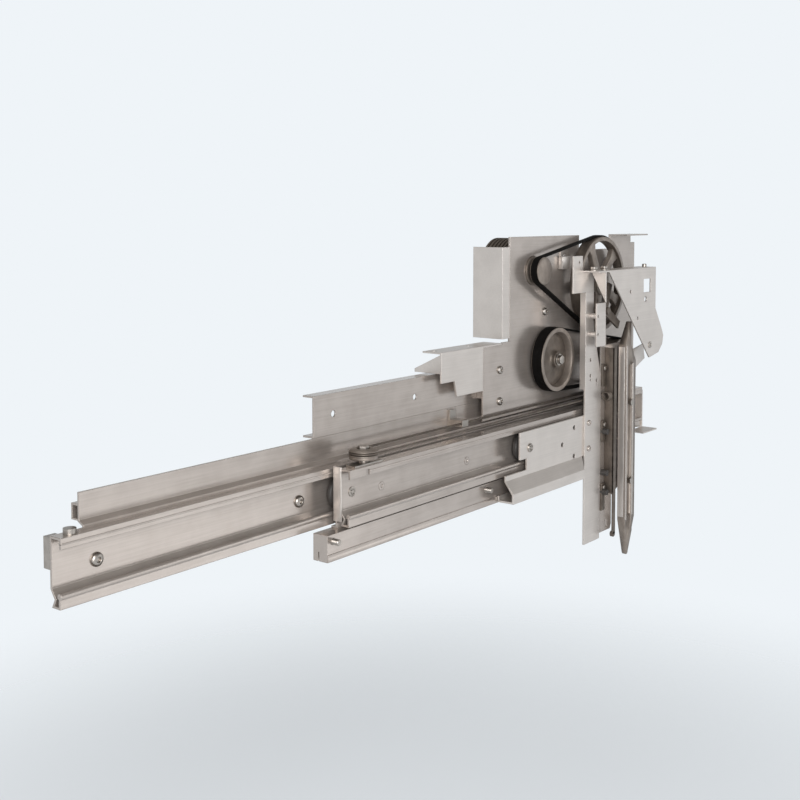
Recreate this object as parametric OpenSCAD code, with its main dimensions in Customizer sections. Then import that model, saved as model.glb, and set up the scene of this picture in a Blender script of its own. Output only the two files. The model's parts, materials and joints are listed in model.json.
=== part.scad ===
// Two-panel telescopic car door operator: fixed header, slow and fast carriages, belt drive and coupler.
// Millimetres. X runs along the tracks, the door opens towards -X, -Y faces the landing, +Z is up.
// The origin is the middle of the two header fixing holes, on the header's back face.

/* [Travel] */
// Travel of the slow carriage on the fixed track, and of the fast carriage on the slow track
panel_travel = 375; // [300:5:380]

/* [Header] */
// Sheet thickness of the header, the beam and the brackets
sheet = 2.5; // [2:0.1:3]
// Height of the header plate
header_h = 56; // [50:1:64]
// Distance from the left fixing hole to the header plate's left end
header_end = 39; // [25:1:60]
// Depth of the header plate's flanges
header_flange = 18; // [12:1:24]
// Distance between the two header fixing holes
fixing_pitch = 180; // [120:5:200]
// Radius of the header and roof flange fixing holes
fixing_r = 4.5; // [3.5:0.1:5]
// Height of the beam's strip between the header plate and the track
strip_h = 36; // [34:1:44]
// Distance that the fixed track reaches past the beam's left end
track_overhang = 42; // [30:1:60]
// Depth of the box along the back of the beam
beam_box_depth = 11; // [8:1:14]
// Height of the box along the back of the beam
beam_box_h = 18; // [14:1:22]
// Distance from the header plate's front to the back of the fixed track
rail_setback = 7.5; // [6:0.5:10]

/* [Tracks] */
// Height of the track section
rail_h = 75; // [74:1:80]
// Depth of the track section in front of its web
rail_depth = 16; // [15:0.5:18]
// Sheet thickness of the tracks
rail_t = 2.5; // [2:0.1:3]
// Height of the lip that hangs down from the track's top
rail_lip = 12; // [8:0.5:12.5]
// Radius of the bead that the rollers run on
bead_r = 3.5; // [3:0.1:4]
// Height of the bead's centre above the track's bottom
bead_z = 13.5; // [12:0.5:14]
// Right end of the fixed track
fixed_track_right = 775; // [765:1:800]
// Right end of the slow track
slow_track_right = 680; // [670:1:700]
// Distance that the track beam stops short of the fixed track's right end
beam_end = 24; // [10:1:40]
// Share of the room between the tracks' right ends that the end bracket's foot takes
end_foot_share = 0.58; // [0.3:0.02:0.8]
// Room past the roller at the open end of the fixed track
fixed_end_room = 44.5; // [20:0.5:60]
// Room past the roller at the open end of the slow track
slow_end_room = 29.5; // [20:0.5:40]
// Distance between the screws of the fixed track
track_screw_pitch = 315; // [290:5:325]
// Distance from the fixed track's left end to its first screw
track_screw_start = 56; // [50:1:70]
// Radius of the track screws' pan heads
pan_head_r = 8; // [6:0.5:9]
// Height of the track screws' pan heads
pan_head_h = 4.5; // [3:0.5:5]

/* [Rollers] */
// Outer radius of the track rollers
roller_r = 22.5; // [21:0.5:23]
// Width of the track rollers
roller_w = 13; // [12:0.5:14]
// Depth of the groove in the rollers
groove_depth = 2.2; // [1.5:0.1:2.4]
// Radius of the roller axles
axle_r = 4; // [3.5:0.1:5]
// Distance from the slow track's left end to the first axle of its carriage
slow_axle_start = 24; // [23:1:30]
// Distance from the slow track's right end to the second axle of its carriage
slow_axle_end = 50; // [40:1:60]
// Place of the fast carriage's left axle
fast_axle_left = 305; // [300:1:315]
// Place of the fast carriage's right axle
fast_axle_right = 600; // [590:1:610]
// Gap between a roller and the plate that carries it
roller_gap = 2; // [1.5:0.1:3]

/* [Carriages] */
// Sheet thickness of the carriage plates
carriage_t = 3; // [2.5:0.1:4]
// Depth of the pads that hold the slow track off the slow plate
pad_depth = 4; // [3:0.5:5]
// Distance that the slow channel reaches past the slow track's left end
channel_overhang = 35; // [20:1:45]
// Depth of the slow channel
channel_depth = 24; // [20:1:26]
// Height of the slow channel
channel_h = 35; // [30:1:40]
// Distance from the channel's left end to the first panel stud
slow_stud_start = 11; // [8:1:20]
// Distance between the slow panel's two studs
slow_stud_pitch = 352; // [300:1:360]
// Distance from the channel's top to the panel studs
stud_drop = 9; // [9:0.5:14]
// Radius of the panel studs
stud_r = 4; // [3:0.5:4.5]
// Length of the panel studs in front of the channel
stud_l = 11; // [8:0.5:11]
// Left end of the fast plate
fast_plate_left = 276; // [270:1:280]
// Right end of the fast plate
fast_plate_right = 650; // [640:1:660]
// Height of the fast plate's flat upper part
fast_plate_h = 69; // [64:1:72]
// Left end of the fast plate's lower hanger
hanger_left = 235; // [228:1:245]
// Right end of the fast plate's lower hanger
hanger_right = 472; // [466:1:474]
// How far the hanger's right end is cut back at its front
hanger_slant = 16; // [8:1:18]
// Forward step of the hanger below the plate
hanger_forward = 14; // [10:1:18]
// Height of the hanger's sloping part
hanger_drop = 19; // [14:1:22]
// Height of the hanger's lip
hanger_lip = 13; // [8:1:16]
// Depth of the hanger's bottom flange
hanger_foot = 26; // [16:1:26]
// Radius of the fast panel's holes
panel_hole_r = 4; // [3:0.1:4.5]
// Height between the fast panel's two holes
panel_hole_pitch = 48; // [40:1:50]

/* [Synchronising rope] */
// Radius of the rope
rope_r = 1.5; // [1:0.1:2]
// Radius of the rope's centre line on the sheaves
rope_bend_r = 18.5; // [17:0.5:19]
// Distance from the slow track's left end to its sheave
sheave_start = 45; // [35:1:60]
// Distance from the slow track's right end to its sheave
sheave_end = 40; // [35:1:60]
// Thickness of the sheaves
sheave_w = 7; // [6:0.5:8]
// Place of the anchor that holds the rope to the header
anchor_x = 180; // [100:5:200]
// Place of the clamp that holds the rope to the fast plate
clamp_x = 515; // [505:5:520]

/* [Drive] */
// Sheet thickness of the drive plate
drive_t = 3; // [2.5:0.1:4]
// Distance from the header plate's front to the drive plate's back
drive_standoff = 15; // [14:0.5:18]
// Bottom edge of the drive plate
drive_low = -56; // [-58:1:-50]
// Top edge of the drive plate
drive_top = 230; // [226:1:236]
// Left end of the drive plate's foot
drive_left = 241; // [236:1:246]
// Right end of the drive plate
drive_right = 751; // [745:1:760]
// Distance that the top notch reaches to the left of the wheel's axis
notch_left = 40; // [36:1:44]
// Distance that the top notch reaches to the right of the wheel's axis
notch_right = 74; // [70:1:78]
// Depth of the top notch
notch_depth = 26; // [22:1:30]
// Left edge of the drive plate's upper part
drive_upper_left = 316; // [312:1:322]
// Place of the motor shaft along the header
motor_x = 386; // [380:1:390]
// Height of the motor shaft
motor_z = 174; // [170:1:178]
// Radius of the ribbed motor body
motor_r = 53; // [48:1:56]
// Length of the ribbed motor body
motor_l = 58; // [50:1:64]
// Number of cooling ribs around the motor
motor_ribs = 8; // [6:1:9]
// Radius of the motor pulley
motor_pulley_r = 20.5; // [18:0.5:22]
// Place of the big wheel along the header
wheel_x = 579; // [575:1:585]
// Height of the big wheel's centre
wheel_z = 144; // [140:1:148]
// Radius of the big wheel
wheel_r = 83; // [80:1:84]
// Width of the big wheel's rim
wheel_w = 18; // [17:0.5:19]
// Radial thickness of the wheel's rim
wheel_rim = 8; // [6:0.5:10]
// Number of spokes in the wheel
wheel_spokes = 5; // [4:1:6]
// Angle of the wheel's first spoke above the horizontal
spoke_angle = 116; // [90:1:130]
// Place of the left belt pulley along the header
left_pulley_x = 425; // [420:1:430]
// Height of the left belt pulley's centre
left_pulley_z = 25; // [23:1:27]
// Radius of the left belt pulley
left_pulley_r = 51; // [46:0.5:52]
// Place of the right belt pulley along the header
right_pulley_x = 650; // [648:1:660]
// Height of the right belt pulley's centre
right_pulley_z = 4; // [2:0.5:6]
// Radius of the right belt pulley
right_pulley_r = 36; // [34:0.5:37]
// Thickness of the belts
belt_t = 2.5; // [2:0.1:3]
// Width of the motor belt
motor_belt_w = 11; // [9:0.5:12]
// Width of the door belt
door_belt_w = 17; // [14:0.5:18]
// Radius of the drive shafts
shaft_r = 7.5; // [6:0.5:8]
// Radius of the reduction's pinion behind the plate
pinion_r = 22; // [20:0.5:24]
// Radius of the reduction's large pulley
reduction_r = 36; // [32:0.5:38]
// Width of the reduction's belt
reduction_w = 8; // [6:0.5:9]
// Depth of the motor cover's side wall
cover_depth = 56; // [50:1:60]
// Height of the motor cover's side wall
cover_h = 146; // [140:1:150]

/* [Roof ear] */
// Left end of the roof ear
ear_left = 131; // [125:1:140]
// Right end of the roof ear's flange
ear_right = 294; // [288:1:296]
// Height of the roof flange above the origin
ear_z = 62; // [60:1:66]
// Depth of the roof flange
ear_flange = 35; // [30:1:40]
// Depth of the gusset beside the roof ear
ear_gusset = 50; // [40:1:55]
// Distance between the holes in the roof flange
ear_hole_pitch = 90; // [80:5:100]

/* [Coupler] */
// Left edge of the coupler post
post_left = 476; // [475:1:478]
// Right edge of the coupler post's narrow upper part
post_waist = 503; // [500:1:506]
// Right edge of the coupler post
post_right = 530; // [528:1:532]
// Lower end of the coupler post
post_low = -296; // [-300:1:-290]
// Width of the back plate's tail
tail_w = 43; // [38:1:48]
// Distance from the tail's right edge to the back plate's right edge
back_step = 48; // [44:1:52]
// Lower end of the back plate's tail
tail_low = -287; // [-290:1:-284]
// Height of the back plate's shoulder
back_shoulder = -228; // [-234:1:-224]
// Top of the back plate behind the vane
back_top = 40; // [36:1:44]
// Distance from the coupler post to the moving vane
vane_gap = 55; // [50:1:58]
// Width of the moving vane
vane_w = 40; // [36:1:44]
// Lower tip of the moving vane
vane_low = -331; // [-335:1:-325]
// Distance from the moving vane's left edge to its lower tip
vane_tip_x = 10; // [8:1:14]
// Radius of the moving vane's lower tip
vane_tip_r = 5; // [4:0.5:6]
// Lower shoulder of the moving vane
vane_low_shoulder = -272; // [-280:1:-264]
// Upper shoulder of the moving vane's right side
vane_high_shoulder = 8; // [2:1:14]
// Upper shoulder of the moving vane's left side
vane_left_shoulder = 37; // [32:1:42]
// Upper end of the moving vane
vane_top = 78; // [72:1:82]
// Distance that the moving vane's upper end leans to the right
vane_lean = 13; // [10:1:15]
// Width of the moving vane's upper end
vane_end_w = 7; // [6:0.5:9]
// Depth of the moving vane's flanges
vane_flange = 14; // [10:1:16]
// Distance from the coupler post to the fixed vane
fixed_vane_gap = 15; // [14:0.5:17]
// Width of the fixed vane's front flange
fixed_vane_w = 10; // [8:1:11]
// Lower end of the fixed vane
fixed_vane_low = -290; // [-294:1:-284]
// Upper end of the fixed vane
fixed_vane_top = 36; // [30:1:38]
// Height of the lower pin on the moving vane
vane_pin_low = -205; // [-208:1:-200]
// Height of the upper pin on the moving vane
vane_pin_high = -65; // [-68:1:-60]
// Height of the lowest buffer
buffer_low = -215; // [-220:1:-210]
// Height of the middle buffer
buffer_mid = -181; // [-186:1:-176]
// Height of the highest buffer
buffer_high = -109; // [-114:1:-104]
// Length of the vane links between their pivots
link_l = 36; // [30:1:38]
// Radius of the pivot pins
pin_r = 4; // [3:0.1:4.5]
// Left end of the head's rear face
head_left = 433; // [428:1:438]
// Lower edge of the head's rear face
head_low = 135; // [130:1:140]
// Upper edge of the head's rear face
head_top = 172; // [168:1:176]
// Length of the head's top flange to the right of the post
head_reach = 175; // [168:1:182]
// Distance from the head's rear face to its front plate
head_depth = 30; // [29:0.5:34]
// Drop of the flap under the head's top, at its front
head_flap = 54; // [45:1:55]
// Place of the lever's pivot along the carriage
lever_x = 532; // [531:1:535]
// Height of the lever's pivot
lever_z = 101; // [99:1:104]

/* [Fits] */
// Radial clearance of a turning shaft
run_fit = 0.05; // [0.03:0.01:0.08]
// Clearance between a belt, bead or rope and what runs along it
slide_gap = 0.3; // [0.25:0.05:0.4]

/* [Hidden] */
$fn = 64;
arc_steps = 40;

// Colours of the finishes
zinc = [0.72, 0.69, 0.67];
pale_zinc = [0.80, 0.78, 0.76];
bright_steel = [0.85, 0.84, 0.83];
dark_steel = [0.34, 0.32, 0.31];
cast_grey = [0.55, 0.52, 0.50];
belt_black = [0.05, 0.05, 0.05];
roller_grey = [0.22, 0.21, 0.21];

// Centres of the drive in X and Z
motor_c = [motor_x, motor_z];
wheel_c = [wheel_x, wheel_z];
left_pulley_c = [left_pulley_x, left_pulley_z];
right_pulley_c = [right_pulley_x, right_pulley_z];
lever_c = [lever_x, lever_z];

// Ends of the tracks, worked back from the open position of the rollers
fast_axle_x = [fast_axle_left, fast_axle_right];
slow_track_left = fast_axle_left - panel_travel - roller_r - slow_end_room;
slow_track_x = [slow_track_left, slow_track_right];
slow_axle_x = [slow_track_left + slow_axle_start, slow_track_right - slow_axle_end];
fixed_track_left = slow_axle_x[0] - panel_travel - roller_r - fixed_end_room;
fixed_track_x = [fixed_track_left, fixed_track_right];
beam_left = fixed_track_left + track_overhang;
beam_right = fixed_track_right - beam_end;
header_left = -fixing_pitch / 2 - header_end;
channel_left = slow_track_left - channel_overhang;
slow_stud_x = [channel_left + slow_stud_start, channel_left + slow_stud_start + slow_stud_pitch];
sheave_x = [slow_track_left + sheave_start, slow_track_right - sheave_end];

// Heights of the header and the tracks
header_top_z = header_h / 2;
header_low_z = -header_h / 2;
rail_top_z = header_low_z - strip_h;
rail_low_z = rail_top_z - rail_h;
bead_off = rail_t + rail_depth - bead_r;
groove_r = bead_r + slide_gap;
roller_z = rail_low_z + bead_z + roller_r - groove_depth + groove_r;

// Depth stack from the header forward to the coupler
header_front = -sheet;
rail_a_y = header_front - rail_setback;
roller_a_y = rail_a_y - bead_off;
slow_back = roller_a_y - roller_w / 2 - roller_gap;
slow_front = slow_back - carriage_t;
rail_b_y = slow_front - pad_depth;
roller_b_y = rail_b_y - bead_off;
fast_back = roller_b_y - roller_w / 2 - roller_gap;
fast_front = fast_back - carriage_t;
post_front = fast_front - carriage_t;
drive_back = header_front - drive_standoff;
drive_front = drive_back - drive_t;

// Depths of the drive's wheels and belts in front of the drive plate
plate_gap = 8;
belt_inset = 2;
wheel_back = drive_front - plate_gap;
motor_belt_back = wheel_back - belt_inset;
pulley_w = door_belt_w + 2 * belt_inset;
motor_pulley_w = motor_belt_w + 2 * belt_inset;
pulley_back = drive_front - plate_gap + 2;
door_belt_back = pulley_back - belt_inset;
flange_rise = 2;
reduction_back = header_front - 2;
reduction_pulley_w = reduction_w + 2 * belt_inset;

// Slow carriage
foot_t = sheet;
foot_z = rail_low_z - 4;
channel_top = foot_z;
channel_low = channel_top - channel_h;
channel_back = slow_front + 10;
channel_front = channel_back - channel_depth;
slow_stud_z = channel_top - stud_drop;
stud_neck_r = stud_r + 0.6;
stud_head_r = stud_r + 1.4;
stud_head_h = 3;
pad_r = 9;

// Rope plane and sheaves
sheave_y = fast_back + rope_r + rope_bend_r;
rope_z = rail_top_z + 15;
sheave_r = rope_bend_r + rope_r;
bracket_t = 3;
sheave_bolt_r = 4;

// Fast carriage
fast_top = rail_top_z - 10;
fast_low = fast_top - fast_plate_h;
fast_mid = fast_top - 43;
panel_hole_x = 445;
panel_hole_z = fast_top - 16;

// Coupler
post_t = carriage_t;
back_front = fast_front - post_t;
vane_t = 2.5;
vane_front = back_front - 20;
tail_right = post_right + tail_w;
back_right = tail_right + back_step;
vane_left = post_right + vane_gap;
vane_right = vane_left + vane_w;
vane_mid = (vane_left + vane_right) / 2;
fixed_vane_left = post_right + fixed_vane_gap;
vane_pin_z = [vane_pin_low, vane_pin_high];
link_t = 4;
link_r = 7;
link_back = back_front - 1.5;
link_front = link_back - link_t;
fixed_vane_back = back_front;
fixed_vane_front = fixed_vane_back - 18;
fixed_tip_r = 5;
waist_z = [-10, 79];
head_front = post_front - head_depth;
lever_back = post_front - 4;
lever_t = 4;
screw_r = 3;
spigot_r = 23;
idler_r = 5;

// Screw places on the drive plate, and those that hold the post and the back plate to the fast plate
plate_screw_c = [
    [drive_left + 183, ear_z + 42], [drive_left + 47, left_pulley_z - 5], [drive_left + 47, drive_low + 26],
    [drive_right - 51, drive_low + 36]
];
coupler_screw_c = [
    for (x = [post_left + 14, vane_mid - 7], z = [fast_top - 14, fast_low + 11]) [x, z]
];

// Draws a cylinder along -Y from y
module rod(x, y, z, r, len) {
    translate([x, y, z]) rotate([90, 0, 0]) cylinder(r = r, h = len);
}

// Extrudes an outline in X and Z along -Y from y
module wall(y, t) {
    translate([0, y, 0]) rotate([90, 0, 0]) linear_extrude(t) children();
}

// Extrudes an outline in Y and Z along +X from x
module along(x, len) {
    translate([x, 0, 0]) rotate([90, 0, 90]) linear_extrude(len) children();
}

// Draws a box between two corners
module block(low, high) {
    translate(low) cube(high - low);
}

// Unit vector at an angle, and the unit normal on the left of a run
function ray(a) = [cos(a), sin(a)];
function left_of(run) = [-run[1], run[0]] / norm(run);

// Offset from point i of a centre line to the left face of a sheet of thickness 2
function bend_offset(points, i) =
    i == 0 ? left_of(points[1] - points[0]) :
    i == len(points) - 1 ? left_of(points[i] - points[i - 1]) :
    let (
        a = left_of(points[i] - points[i - 1]),
        b = left_of(points[i + 1] - points[i])
    ) (a + b) / (1 + a * b);

// Draws a bent strip of sheet along its centre line
module strip(points, t) {
    last = len(points) - 1;
    polygon([
        for (i = [0 : last]) points[i] + bend_offset(points, i) * t / 2,
        for (i = [last : -1 : 0]) points[i] - bend_offset(points, i) * t / 2
    ]);
}

// Points of an arc around c
function arc_points(c, r, from, to) = [
    for (i = [0 : arc_steps]) c + r * ray(from + (to - from) * i / arc_steps)
];

// Fills the outline of a belt around two pulleys
module belt_outline(c1, r1, c2, r2) {
    run = c2 - c1;
    lean = atan2(run[1], run[0]);
    spread = acos((r1 - r2) / norm(run));
    polygon(concat(
        arc_points(c1, r1, lean + spread, lean - spread + 360),
        arc_points(c2, r2, lean - spread, lean + spread)
    ));
}

// A closed flat belt around two pulleys
module belt(c1, r1, c2, r2, y, w) {
    wall(y, w) difference() {
        belt_outline(c1, r1 + slide_gap + belt_t, c2, r2 + slide_gap + belt_t);
        belt_outline(c1, r1 + slide_gap, c2, r2 + slide_gap);
    }
}

// A flanged pulley blank with a dished front and a bore
module pulley(c, r, y, w, bore_r, hub_r, web_t) {
    difference() {
        union() {
            rod(c[0], y, c[1], r, w);
            rod(c[0], y, c[1], r + flange_rise, belt_inset - slide_gap);
        }
        difference() {
            rod(c[0], y - web_t, c[1], r - 4, w);
            rod(c[0], y - web_t, c[1], hub_r, w);
        }
        rod(c[0], y + 1, c[1], bore_r, w + 2);
    }
}

// The rolled track section, with its back at y = 0 and its bottom at z = 0
module track_section() {
    web = -rail_t / 2;
    lip = -rail_t / 2 - rail_depth;
    strip([
        [lip, rail_h - rail_lip], [lip, rail_h - rail_t / 2], [web, rail_h - rail_t / 2],
        [web, bead_z + 6], [web - 7, bead_z - 4], [web - 3, rail_t / 2], [-bead_off, rail_t / 2],
        [-bead_off, bead_z]
    ], rail_t);
    translate([-bead_off, bead_z]) circle(bead_r);
}

// A length of track between two ends
module track(y, ends) {
    along(ends[0], ends[1] - ends[0]) translate([y, rail_low_z]) track_section();
}

// Screw places along the fixed track
function track_screw_x() = [
    for (x = [fixed_track_left + track_screw_start : track_screw_pitch : fixed_track_right - 20]) x
];

// A grooved track roller with a recess for its axle's head
module track_roller(x, y) {
    difference() {
        rod(x, y + roller_w / 2, roller_z, roller_r, roller_w);
        translate([x, y, roller_z]) rotate([90, 0, 0]) rotate_extrude()
            translate([roller_r - groove_depth + groove_r, 0]) circle(groove_r);
        rod(x, y + roller_w, roller_z, axle_r + run_fit, 2 * roller_w);
        rod(x, y + roller_w / 2 + 1, roller_z, 2 * axle_r + slide_gap, 4);
    }
}

// An axle riveted in a carriage plate: head, shaft and collar
module axle(x, y, plate_back) {
    head_back = y + roller_w / 2;
    rod(x, head_back, roller_z, 2 * axle_r, 2.5);
    rod(x, head_back - 1, roller_z, axle_r, head_back - 1 - plate_back + carriage_t);
    rod(x, y - roller_w / 2 - slide_gap, roller_z, axle_r + 3, roller_gap - slide_gap);
}

module track_beam() {
    web = header_front + sheet / 2;
    leg = rail_a_y + sheet / 2;
    color(zinc) difference() {
        union() {
            along(beam_left, beam_right - beam_left) {
                strip([[web, header_low_z], [web, rail_top_z + 5], [leg, rail_top_z + sheet / 2],
                    [leg, rail_low_z + 4]], sheet);
                translate([0, rail_top_z + 5]) difference() {
                    square([beam_box_depth, beam_box_h]);
                    translate([0, 2]) square([beam_box_depth - 2, beam_box_h - 4]);
                }
            }
        }
        for (x = track_screw_x()) rod(x, 1, roller_z, screw_r + run_fit, 2 * rail_setback);
    }
}

module header_track() {
    color(zinc) difference() {
        track(rail_a_y, fixed_track_x);
        for (x = track_screw_x()) rod(x, rail_a_y + 1, roller_z, screw_r + run_fit, rail_t + 2);
    }
}

module header_plate() {
    half = sheet / 2;
    edge = header_flange - half;
    color(zinc) difference() {
        along(header_left, drive_right - header_left) strip([
            [edge, header_low_z + half], [-half, header_low_z + half],
            [-half, header_top_z - half], [edge, header_top_z - half]
        ], sheet);
        for (side = [-1, 1]) rod(side * fixing_pitch / 2, 1, 0, fixing_r, sheet + 2);
    }
}

// Plate holes of the drive: motor, wheel, lower shaft and idler
module drive_holes() {
    rod(motor_x, drive_back + 1, motor_z, spigot_r + 1, drive_t + 2);
    rod(wheel_c[0], drive_back + 1, wheel_c[1], 2 * shaft_r, drive_t + 2);
    rod(right_pulley_c[0], drive_back + 1, right_pulley_c[1], 2 * shaft_r, drive_t + 2);
    rod(left_pulley_x, drive_back + 1, left_pulley_z, idler_r + run_fit, drive_t + 2);
}

module drive_plate() {
    notch_x = [wheel_x - notch_left, wheel_x + notch_right];
    notch_z = drive_top - notch_depth;
    step = 16;
    boss_c = [motor_x + 100, motor_z + 20];
    boss = [26, 22];
    boss_t = 2;
    shelf = 35;
    color(zinc) difference() {
        union() {
            wall(drive_back, drive_t) polygon([
                [drive_left, drive_low], [drive_right, drive_low], [drive_right, drive_top - step],
                [drive_right - step, drive_top - step], [drive_right - step, drive_top],
                [notch_x[1], drive_top], [notch_x[1], notch_z], [notch_x[0], notch_z],
                [notch_x[0], drive_top], [drive_upper_left, drive_top],
                [drive_upper_left, ear_z + 1], [ear_right + 1, ear_z + 1], [ear_right + 1, ear_z - sheet],
                [drive_left, ear_z - sheet]
            ]);
            block([notch_x[1], drive_front - shelf, drive_top - sheet],
                [drive_right - step, drive_front, drive_top]);
            wall(drive_front, boss_t) translate(boss_c - boss / 2) square(boss);
            for (x = [drive_left + 8, drive_right - 20])
                block([x, drive_back, header_low_z + 6], [x + sheet, header_front, header_top_z - 6]);
        }
        drive_holes();
        for (c = plate_screw_c) rod(c[0], drive_back + 1, c[1], screw_r + run_fit, drive_t + 2);
        rod(boss_c[0], drive_back + 1, boss_c[1], 5, drive_t + boss_t + 2);
    }
}

module roof_ear() {
    hole_x = (ear_left + drive_left) / 2;
    flange_back = drive_front + ear_flange;
    gusset_back = drive_front + ear_gusset;
    gusset_low = header_top_z + 2;
    color(pale_zinc) difference() {
        union() {
            wall(drive_back, drive_t) polygon([
                [ear_left, ear_z], [ear_left, 16], [ear_left + 34, 16], [ear_left + 40, -8],
                [drive_left - slide_gap, -8], [drive_left - slide_gap, ear_z]
            ]);
            block([ear_left, drive_front, ear_z - sheet], [ear_right, flange_back, ear_z]);
            along(ear_left, sheet) polygon([
                [drive_front, ear_z - sheet], [drive_front, gusset_low], [gusset_back, gusset_low],
                [gusset_back, gusset_low + 5]
            ]);
            block([ear_left + 60, drive_back, -4], [ear_left + 60 + sheet, header_front, ear_z - sheet]);
        }
        for (side = [-1, 1])
            translate([hole_x + side * ear_hole_pitch / 2, flange_back - 14, ear_z - sheet - 1])
                cylinder(r = fixing_r, h = sheet + 2);
    }
}

module end_bracket() {
    x = fixed_track_right;
    low = rail_low_z - 4;
    front = rail_a_y - rail_t - rail_depth;
    foot = (fixed_track_right - slow_track_right) * end_foot_share;
    color(pale_zinc) {
        block([x, front, low], [x + sheet, 0, rail_top_z - 6]);
        block([x - foot, front - 30, low], [x + sheet, front, low + sheet]);
    }
}

module end_block() {
    x = fixed_track_left;
    color(bright_steel) {
        block([x, rail_a_y, rail_top_z - 36], [x + 14, rail_a_y + 11, rail_top_z - 2]);
        translate([x + 18, rail_a_y - 9, rail_top_z]) cylinder(r = 7, h = 6);
    }
}

module motor_body() {
    rib = motor_l / (2 * motor_ribs + 1);
    start = drive_back + 8 + motor_l;
    color(dark_steel) difference() {
        union() {
            rod(motor_c[0], start, motor_c[1], motor_r - 5, motor_l);
            for (i = [0 : motor_ribs]) rod(motor_c[0], start - 2 * i * rib, motor_c[1], motor_r, rib);
        }
        rod(motor_c[0], drive_back + 30, motor_c[1], 12, 30);
    }
}

module motor_flange() {
    color(cast_grey) difference() {
        union() {
            rod(motor_c[0], drive_back + 8, motor_c[1], motor_r - 2, 8);
            rod(motor_x, drive_back, motor_z, spigot_r, drive_t + 3);
        }
        rod(motor_c[0], drive_back + 9, motor_c[1], shaft_r + run_fit, drive_t + 15);
    }
}

module motor_cover() {
    lip = drive_upper_left - ear_right - 1;
    z0 = ear_z + 6;
    x0 = drive_upper_left - slide_gap - lip;
    color(pale_zinc) {
        block([x0, drive_front, z0], [x0 + sheet, drive_front + cover_depth, z0 + cover_h]);
        block([x0, drive_front, z0], [drive_upper_left - slide_gap, drive_back, z0 + cover_h]);
        block([x0, drive_back, z0], [motor_c[0] - motor_r + 20, drive_back + sheet, z0 + 12]);
    }
}

// A flanged bearing cup on the drive plate
module bearing_cup(c) {
    color(cast_grey) difference() {
        union() {
            rod(c[0], drive_front, c[1], 2 * shaft_r + 8, 3);
            rod(c[0], drive_back, c[1], 2 * shaft_r - 0.1, drive_t);
        }
        rod(c[0], drive_back + 1, c[1], shaft_r + run_fit, drive_t + 5);
    }
}

module wheel_bearing() {
    bearing_cup(wheel_c);
}

module lower_bearing() {
    bearing_cup(right_pulley_c);
}

module idler_axle() {
    c = left_pulley_c;
    nut_t = 6;
    front = pulley_back - pulley_w - slide_gap;
    color(bright_steel) {
        rod(c[0], drive_back + nut_t, c[1], idler_r, nut_t + drive_back - front + 1);
        rod(c[0], drive_back + nut_t, c[1], 2 * idler_r - 1, nut_t);
        rod(c[0], drive_front, c[1], 2 * idler_r, drive_front - pulley_back - slide_gap);
        rod(c[0], front, c[1], 2 * idler_r, 2);
        rod(c[0], front - 2, c[1], 8, 5, $fn = 6);
    }
}

module motor_belt() {
    color(belt_black) belt(motor_c, motor_pulley_r, wheel_c, wheel_r, motor_belt_back, motor_belt_w);
}

module door_belt() {
    color(belt_black) belt(left_pulley_c, left_pulley_r, right_pulley_c, right_pulley_r, door_belt_back,
        door_belt_w);
}

module reduction_belt() {
    color(belt_black) belt(wheel_c, pinion_r, right_pulley_c, reduction_r,
        reduction_back - belt_inset, reduction_w);
}

module track_screws() {
    color(bright_steel) for (x = track_screw_x()) {
        rod(x, rail_a_y - rail_t, roller_z, pan_head_r, pan_head_h);
        rod(x, rail_a_y + sheet + 4, roller_z, screw_r, sheet + rail_t + 4);
        rod(x, rail_a_y + sheet + 4, roller_z, 6, 4);
    }
}

module plate_screws() {
    color(bright_steel) for (c = plate_screw_c) {
        rod(c[0], drive_front, c[1], 6.5, 4);
        rod(c[0], drive_back + 3, c[1], screw_r, drive_t + 3);
        rod(c[0], drive_back + 3, c[1], 5, 3);
    }
}

// The hole that a rope's run passes through
module rope_hole(x, run_y) {
    translate([x - 10, run_y, rope_z]) rotate([0, 90, 0]) cylinder(r = rope_r + slide_gap, h = 20);
}

module rope_anchor() {
    run_y = sheave_y + rope_bend_r;
    color(bright_steel) difference() {
        union() {
            block([anchor_x - 8, run_y - 4, rope_z - 5], [anchor_x + 8, header_front, rope_z + 5]);
            block([anchor_x - 8, header_front - 4, rope_z - 5],
                [anchor_x + 8, header_front, header_low_z - 2]);
        }
        rope_hole(anchor_x, run_y);
    }
}

module motor_pulley() {
    y = motor_belt_back + belt_inset;
    w = motor_pulley_w;
    color(cast_grey) pulley(motor_c, motor_pulley_r, y, w, shaft_r - 1, shaft_r + 4, w - 2);
}

module motor_shaft() {
    y = motor_belt_back + belt_inset;
    color(bright_steel) {
        rod(motor_c[0], y, motor_c[1], shaft_r - 1, motor_pulley_w + 2);
        rod(motor_c[0], drive_back + 24, motor_c[1], shaft_r, 24 + drive_back - y);
    }
}

module drive_wheel() {
    r = wheel_r;
    w = wheel_w;
    hub_r = 20;
    color(cast_grey) difference() {
        union() {
            wall(wheel_back, w) translate(wheel_c) difference() {
                circle(r);
                circle(r - wheel_rim);
            }
            wall(wheel_back, belt_inset - slide_gap) translate(wheel_c) difference() {
                circle(r + flange_rise);
                circle(r - 1);
            }
            wall(wheel_back - 4, w - 8) translate(wheel_c) difference() {
                for (i = [0 : wheel_spokes - 1]) rotate(spoke_angle + 360 * i / wheel_spokes)
                    polygon([[0, -10], [r - wheel_rim + 2, -7], [r - wheel_rim + 2, 7], [0, 10]]);
                circle(hub_r - 1);
            }
            rod(wheel_c[0], wheel_back, wheel_c[1], hub_r, w);
        }
        rod(wheel_c[0], wheel_back + 1, wheel_c[1], shaft_r, w + 2);
    }
}

// A stepped shaft from the wheel in front to the reduction behind the plate
module through_shaft(c, front) {
    color(bright_steel) {
        rod(c[0], reduction_back, c[1], shaft_r, reduction_back - front);
        rod(c[0], front, c[1], shaft_r + 4, 2);
    }
}

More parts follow.
